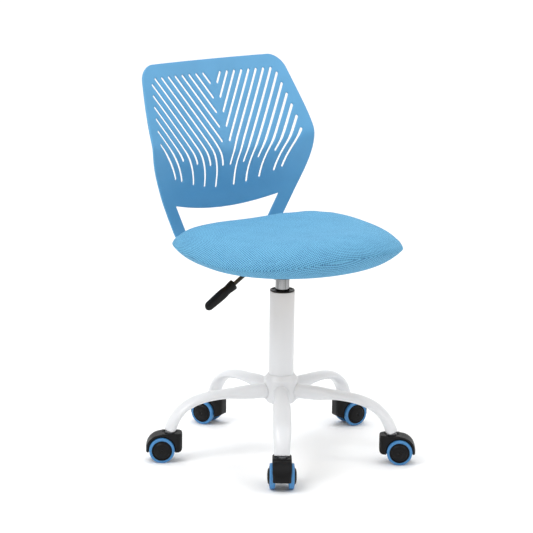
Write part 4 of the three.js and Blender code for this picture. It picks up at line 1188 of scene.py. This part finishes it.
def build_grip(s, start, end, across):
    share = np.linspace(0, 1, 120)
    along = share * s.grip
    mouth = np.sqrt(np.clip(1 - (1 - along / (1.6 * MM)).clip(0) ** 2, 0, 1))
    tip = np.sqrt(np.clip(1 - ((along - s.grip + 10 * MM) / (10 * MM)).clip(0) ** 2, 0, 1))
    waist = (s.collar_waist * np.exp(-((along - 19 * MM) / (8 * MM)) ** 2)
             + s.end_waist * np.exp(-((along - s.grip) / (26 * MM)) ** 2))
    ribbed = smooth_step(along, 26 * MM, 30 * MM) * (1 - smooth_step(along, 54 * MM, 58 * MM))
    ribs = s.rib * (1 + np.sin(along / s.rib_pitch * TURN)) / 2 * ribbed
    height = (s.width / 2 - waist) * mouth * tip
    width = (s.thickness / 2 - 0.8 * MM * smooth_step(along, 30 * MM, s.grip) - ribs) * mouth * tip
    points, faces = carried(start + share[:, None] * (end - start), across, width, height, sides=40,
                            power=2.6)
    make_piece("paddle_grip", mesh_of("paddle_grip", points, faces), "lever", "black_nylon", ["lever_grip"])


def build_bolts(context):
    """Pan-head screws with a hexagon socket in the head."""
    names = [f"plate_bolt_{i}" for i in range(1, 5)] + ["back_screw_1", "back_screw_2"]
    socket = 2.3 * MM
    hexagon = lambda angle: 1 / np.cos((angle + TURN / 12) % (TURN / 6) - TURN / 12)
    for name in names:
        lo, hi = low(name), high(name)
        head = (hi[0] - lo[0]) / 2
        profile = rounded([(0, lo[2] + 2.4 * MM, 0), (socket, lo[2] + 2.4 * MM, 0),
                           (socket, lo[2] + 0.1 * MM, 0.2 * MM), (socket * 1.35, lo[2], 0.3 * MM),
                           (head * 0.72, lo[2], 2 * MM), (head, lo[2] + 2.2 * MM, 1 * MM),
                           (head, lo[2] + 3.5 * MM, 0.3 * MM), (3 * MM, lo[2] + 3.5 * MM, 0.2 * MM),
                           (3 * MM, hi[2], 0.5 * MM), (0, hi[2], 0)], 4)
        share = lambda angle, height: np.where(
            (height < lo[2] + 2.5 * MM) & (profile[:, :1] < socket * 1.1), hexagon(angle)[None], 1.0)
        points, faces = turned(profile, 48, share)
        middle = (lo + hi) / 2 * (1, 1, 0)
        piece = make_piece(f"screw_{name}", mesh_of(name, points + middle, faces), "seat", "zinc_steel",
                           [name])
        keep_edges(piece)


def dress_frame_pieces(context):
    """Pieces that keep their own shape: pressed plate, pins, rod, bearing and clip get a finish and
    eased edges."""
    shown = {"seat_plate": "black_steel", "piston_rod": "bright_steel", "rod_clip": "zinc_steel",
             "thrust_bearing": "zinc_steel"}
    for number in CASTERS:
        shown[f"caster_axle_{number}"] = "zinc_steel"
        shown[f"caster_stem_{number}"] = "zinc_steel"
    for name, slot in shown.items():
        node = frame["nodes"][name]
        node.data.materials.clear()
        node.data.materials.append(MATERIALS[slot])
        weld = node.modifiers.new("Joined", "WELD")
        weld.merge_threshold = 0.01 * MM
        bevel = node.modifiers.new("Eased", "BEVEL")
        bevel.width = (1.2 if name == "seat_plate" else 0.4) * MM
        bevel.segments = 3
        bevel.limit_method = "ANGLE"
        bevel.angle_limit = math.radians(40)
        bevel.harden_normals = True


# ---------- stage ----------
def build_stage(context):
    """White floor that runs up into a backdrop, large soft lights and the camera."""
    floor_points = []
    radius, reach = 0.8, 6.0
    run = np.linspace(0, math.pi / 2, 16)
    profile = [(-reach, 0)] + [(2.4 + radius * math.sin(a),
                                radius * (1 - math.cos(a))) for a in run] + [(2.4 + radius, 5.0)]
    angle = VIEW_AZIMUTH
    right = np.array([math.cos(angle), math.sin(angle), 0])
    away = np.array([-math.sin(angle), math.cos(angle), 0])
    for side in (-reach, reach):
        floor_points.append([right * side + away * along + np.array([0, 0, height]) for along,
                             height in profile])
    floor = bpy.data.objects.new("floor",
                                 mesh_of("floor", np.array(floor_points), grid_faces(2, len(profile))))
    floor.data.shade_smooth()
    bpy.context.scene.collection.objects.link(floor)
    paper, tree, shader = new_material("white_paper", linear("#FFFFFF"), 0.9)
    ranged(tree, shader, object_noise(tree, 0.3), 0.86, 0.94)
    floor.data.materials.append(paper)
    world = bpy.context.scene.world or bpy.data.worlds.new("studio")
    bpy.context.scene.world = world
    world.use_nodes = True
    background = world.node_tree.nodes.get("Background") or world.node_tree.nodes.new("ShaderNodeBackground")
    background.inputs["Color"].default_value = (1, 1, 1, 1)
    place = add(world.node_tree, "ShaderNodeTexCoord").outputs["Generated"]
    part = add(world.node_tree, "ShaderNodeSeparateXYZ", {0: place}).outputs
    sky = add(world.node_tree, "ShaderNodeMapRange", {"Value": part["Z"], "From Min": 0.0, "From Max": 0.8,
                                                       "To Min": 0.62, "To Max": 1.05})
    # Upright bands round the studio, as between its screens, which bright metal shows as streaks.
    round_about = add(world.node_tree, "ShaderNodeMath", {0: part["Y"], 1: part["X"]}, operation="ARCTAN2")
    bands = add(world.node_tree, "ShaderNodeMath", {0: round_about.outputs[0], 1: 7.0, 2: 0.6},
                operation="MULTIPLY_ADD")
    wave = add(world.node_tree, "ShaderNodeMath", {0: bands.outputs[0]}, operation="SINE")
    depth = add(world.node_tree, "ShaderNodeMapRange", {"Value": wave.outputs[0], "From Min": -1.0,
                                                         "From Max": 0.2, "To Min": 0.35, "To Max": 1.0})
    strength = add(world.node_tree, "ShaderNodeMath",
                   {0: sky.outputs["Result"], 1: depth.outputs["Result"]},
                   operation="MULTIPLY")
    world.node_tree.links.new(strength.outputs[0], background.inputs["Strength"])
    bpy.context.scene.view_settings.view_transform = "Standard"
    lights = (("key", (-1.6, -1.2, 2.6), 1.6, 36), ("fill", (1.8, -0.6, 1.8), 1.6, 10),
              ("top", (0.0, 0.8, 3.0), 2.4, 36))
    for name, (across, depth, height), size, power in lights:
        lamp = bpy.data.lights.new(name, "AREA")
        lamp.energy, lamp.size, lamp.shape = power, size, "DISK"
        holder = bpy.data.objects.new(name, lamp)
        place = right * across + away * depth + np.array([0, 0, height])
        aim = np.array([0, 0, 0.4]) - place
        holder.location = place
        holder.rotation_mode = "QUATERNION"
        holder.rotation_quaternion = Vector(aim).to_track_quat("-Z", "Y")
        bpy.context.scene.collection.objects.link(holder)
    build_camera()


def build_camera():
    """Camera on the sitter's right front, a long lens from almost five metres, rolled by under a degree."""
    azimuth, elevation, roll = VIEW_AZIMUTH, math.radians(13.2), 0.01325
    distance, lens = 4.917, 169.06
    across, height = -31.8 * MM, 376.4 * MM
    back = np.array([math.sin(azimuth) * math.cos(elevation), -math.cos(azimuth) * math.cos(elevation),
                     math.sin(elevation)])
    right = np.array([math.cos(azimuth), math.sin(azimuth), 0])
    up = np.cross(back, right)
    target = AXIS + right * across + (0, 0, height)
    rolled_right = math.cos(roll) * right + math.sin(roll) * up
    rolled_up = math.cos(roll) * up - math.sin(roll) * right
    camera = bpy.data.objects.new("camera", bpy.data.cameras.new("camera"))
    camera.data.lens, camera.data.sensor_width = lens, 36
    camera.data.clip_end = 50
    frame_matrix = np.eye(4)
    frame_matrix[:3, :3] = np.stack([rolled_right, rolled_up, back], 1)
    frame_matrix[:3, 3] = target + back * distance
    camera.matrix_world = Matrix(frame_matrix.tolist())
    bpy.context.scene.collection.objects.link(camera)
    bpy.context.scene.camera = camera


# ---------- operators ----------
class CHAIR_OT_stage(bpy.types.Operator):
    """Adds floor, lights and camera."""
    bl_idname = "chair.stage"
    bl_label = "Stage"

    def execute(self, context):
        build_stage(context)
        return {"FINISHED"}


class CHAIR_OT_materials(bpy.types.Operator):
    """Makes the chair's materials."""
    bl_idname = "chair.materials"
    bl_label = "Materials"

    def execute(self, context):
        make_materials(context.scene.chair_finishes)
        return {"FINISHED"}


class CHAIR_OT_backrest(bpy.types.Operator):
    """Builds the slotted backrest."""
    bl_idname = "chair.backrest"
    bl_label = "Backrest"

    def execute(self, context):
        build_backrest(context)
        return {"FINISHED"}


class CHAIR_OT_cushion(bpy.types.Operator):
    """Builds the mesh seat."""
    bl_idname = "chair.cushion"
    bl_label = "Cushion"

    def execute(self, context):
        build_cushion(context)
        return {"FINISHED"}


class CHAIR_OT_board(bpy.types.Operator):
    """Builds the plywood board."""
    bl_idname = "chair.board"
    bl_label = "Seat board"

    def execute(self, context):
        build_board(context)
        return {"FINISHED"}


class CHAIR_OT_legs(bpy.types.Operator):
    """Builds the five bent legs."""
    bl_idname = "chair.legs"
    bl_label = "Legs"

    def execute(self, context):
        build_legs(context)
        return {"FINISHED"}


class CHAIR_OT_hub(bpy.types.Operator):
    """Builds the welded hub."""
    bl_idname = "chair.hub"
    bl_label = "Hub"

    def execute(self, context):
        build_hub(context)
        return {"FINISHED"}


class CHAIR_OT_column(bpy.types.Operator):
    """Builds the column and its guide bush."""
    bl_idname = "chair.column"
    bl_label = "Column"

    def execute(self, context):
        build_column(context)
        return {"FINISHED"}


class CHAIR_OT_lift(bpy.types.Operator):
    """Builds the cylinder and its valve button."""
    bl_idname = "chair.lift"
    bl_label = "Gas lift"

    def execute(self, context):
        build_lift(context)
        return {"FINISHED"}


class CHAIR_OT_housings(bpy.types.Operator):
    """Builds the caster housings."""
    bl_idname = "chair.housings"
    bl_label = "Caster housings"

    def execute(self, context):
        build_housings(context)
        return {"FINISHED"}


class CHAIR_OT_wheels(bpy.types.Operator):
    """Builds the twin wheels."""
    bl_idname = "chair.wheels"
    bl_label = "Wheels"

    def execute(self, context):
        build_wheels(context)
        return {"FINISHED"}


class CHAIR_OT_lever(bpy.types.Operator):
    """Builds the lever and its grip."""
    bl_idname = "chair.lever"
    bl_label = "Lever"

    def execute(self, context):
        build_lever(context)
        return {"FINISHED"}


class CHAIR_OT_bolts(bpy.types.Operator):
    """Builds the screws."""
    bl_idname = "chair.bolts"
    bl_label = "Screws"

    def execute(self, context):
        build_bolts(context)
        return {"FINISHED"}


class CHAIR_OT_plain_pieces(bpy.types.Operator):
    """Finishes the plate, pins, rod, bearing and clip."""
    bl_idname = "chair.plain_pieces"
    bl_label = "Plate and pins"

    def execute(self, context):
        dress_frame_pieces(context)
        return {"FINISHED"}


OPERATORS = [
    CHAIR_OT_stage, CHAIR_OT_materials, CHAIR_OT_backrest, CHAIR_OT_cushion, CHAIR_OT_board,
    CHAIR_OT_legs, CHAIR_OT_hub, CHAIR_OT_column, CHAIR_OT_lift, CHAIR_OT_housings, CHAIR_OT_wheels,
    CHAIR_OT_lever, CHAIR_OT_bolts, CHAIR_OT_plain_pieces,
]


class CHAIR_PT_panel(bpy.types.Panel):
    """Lists the chair's build steps."""
    bl_label = "Office chair"
    bl_space_type = "VIEW_3D"
    bl_region_type = "UI"
    bl_category = "Office chair"

    def draw(self, context):
        for step in OPERATORS:
            self.layout.operator(step.bl_idname)


SETTINGS = {"chair_finishes": ChairFinishes, "chair_backrest": BackrestSizes, "chair_cushion": CushionSizes,
            "chair_base": BaseSizes, "chair_lever": LeverSizes, "chair_caster": CasterSizes}
CLASSES = [*SETTINGS.values(), *OPERATORS, CHAIR_PT_panel]


def register():
    for kind in CLASSES:
        bpy.utils.register_class(kind)
    for name, kind in SETTINGS.items():
        setattr(bpy.types.Scene, name, PointerProperty(type=kind))


def unregister():
    for name in SETTINGS:
        delattr(bpy.types.Scene, name)
    for kind in reversed(CLASSES):
        bpy.utils.unregister_class(kind)


def main():
    register()
    for step in OPERATORS:
        group, action = step.bl_idname.split(".")
        getattr(getattr(bpy.ops, group), action)()
    bpy.context.view_layer.update()


if __name__ == "__main__":
    main()
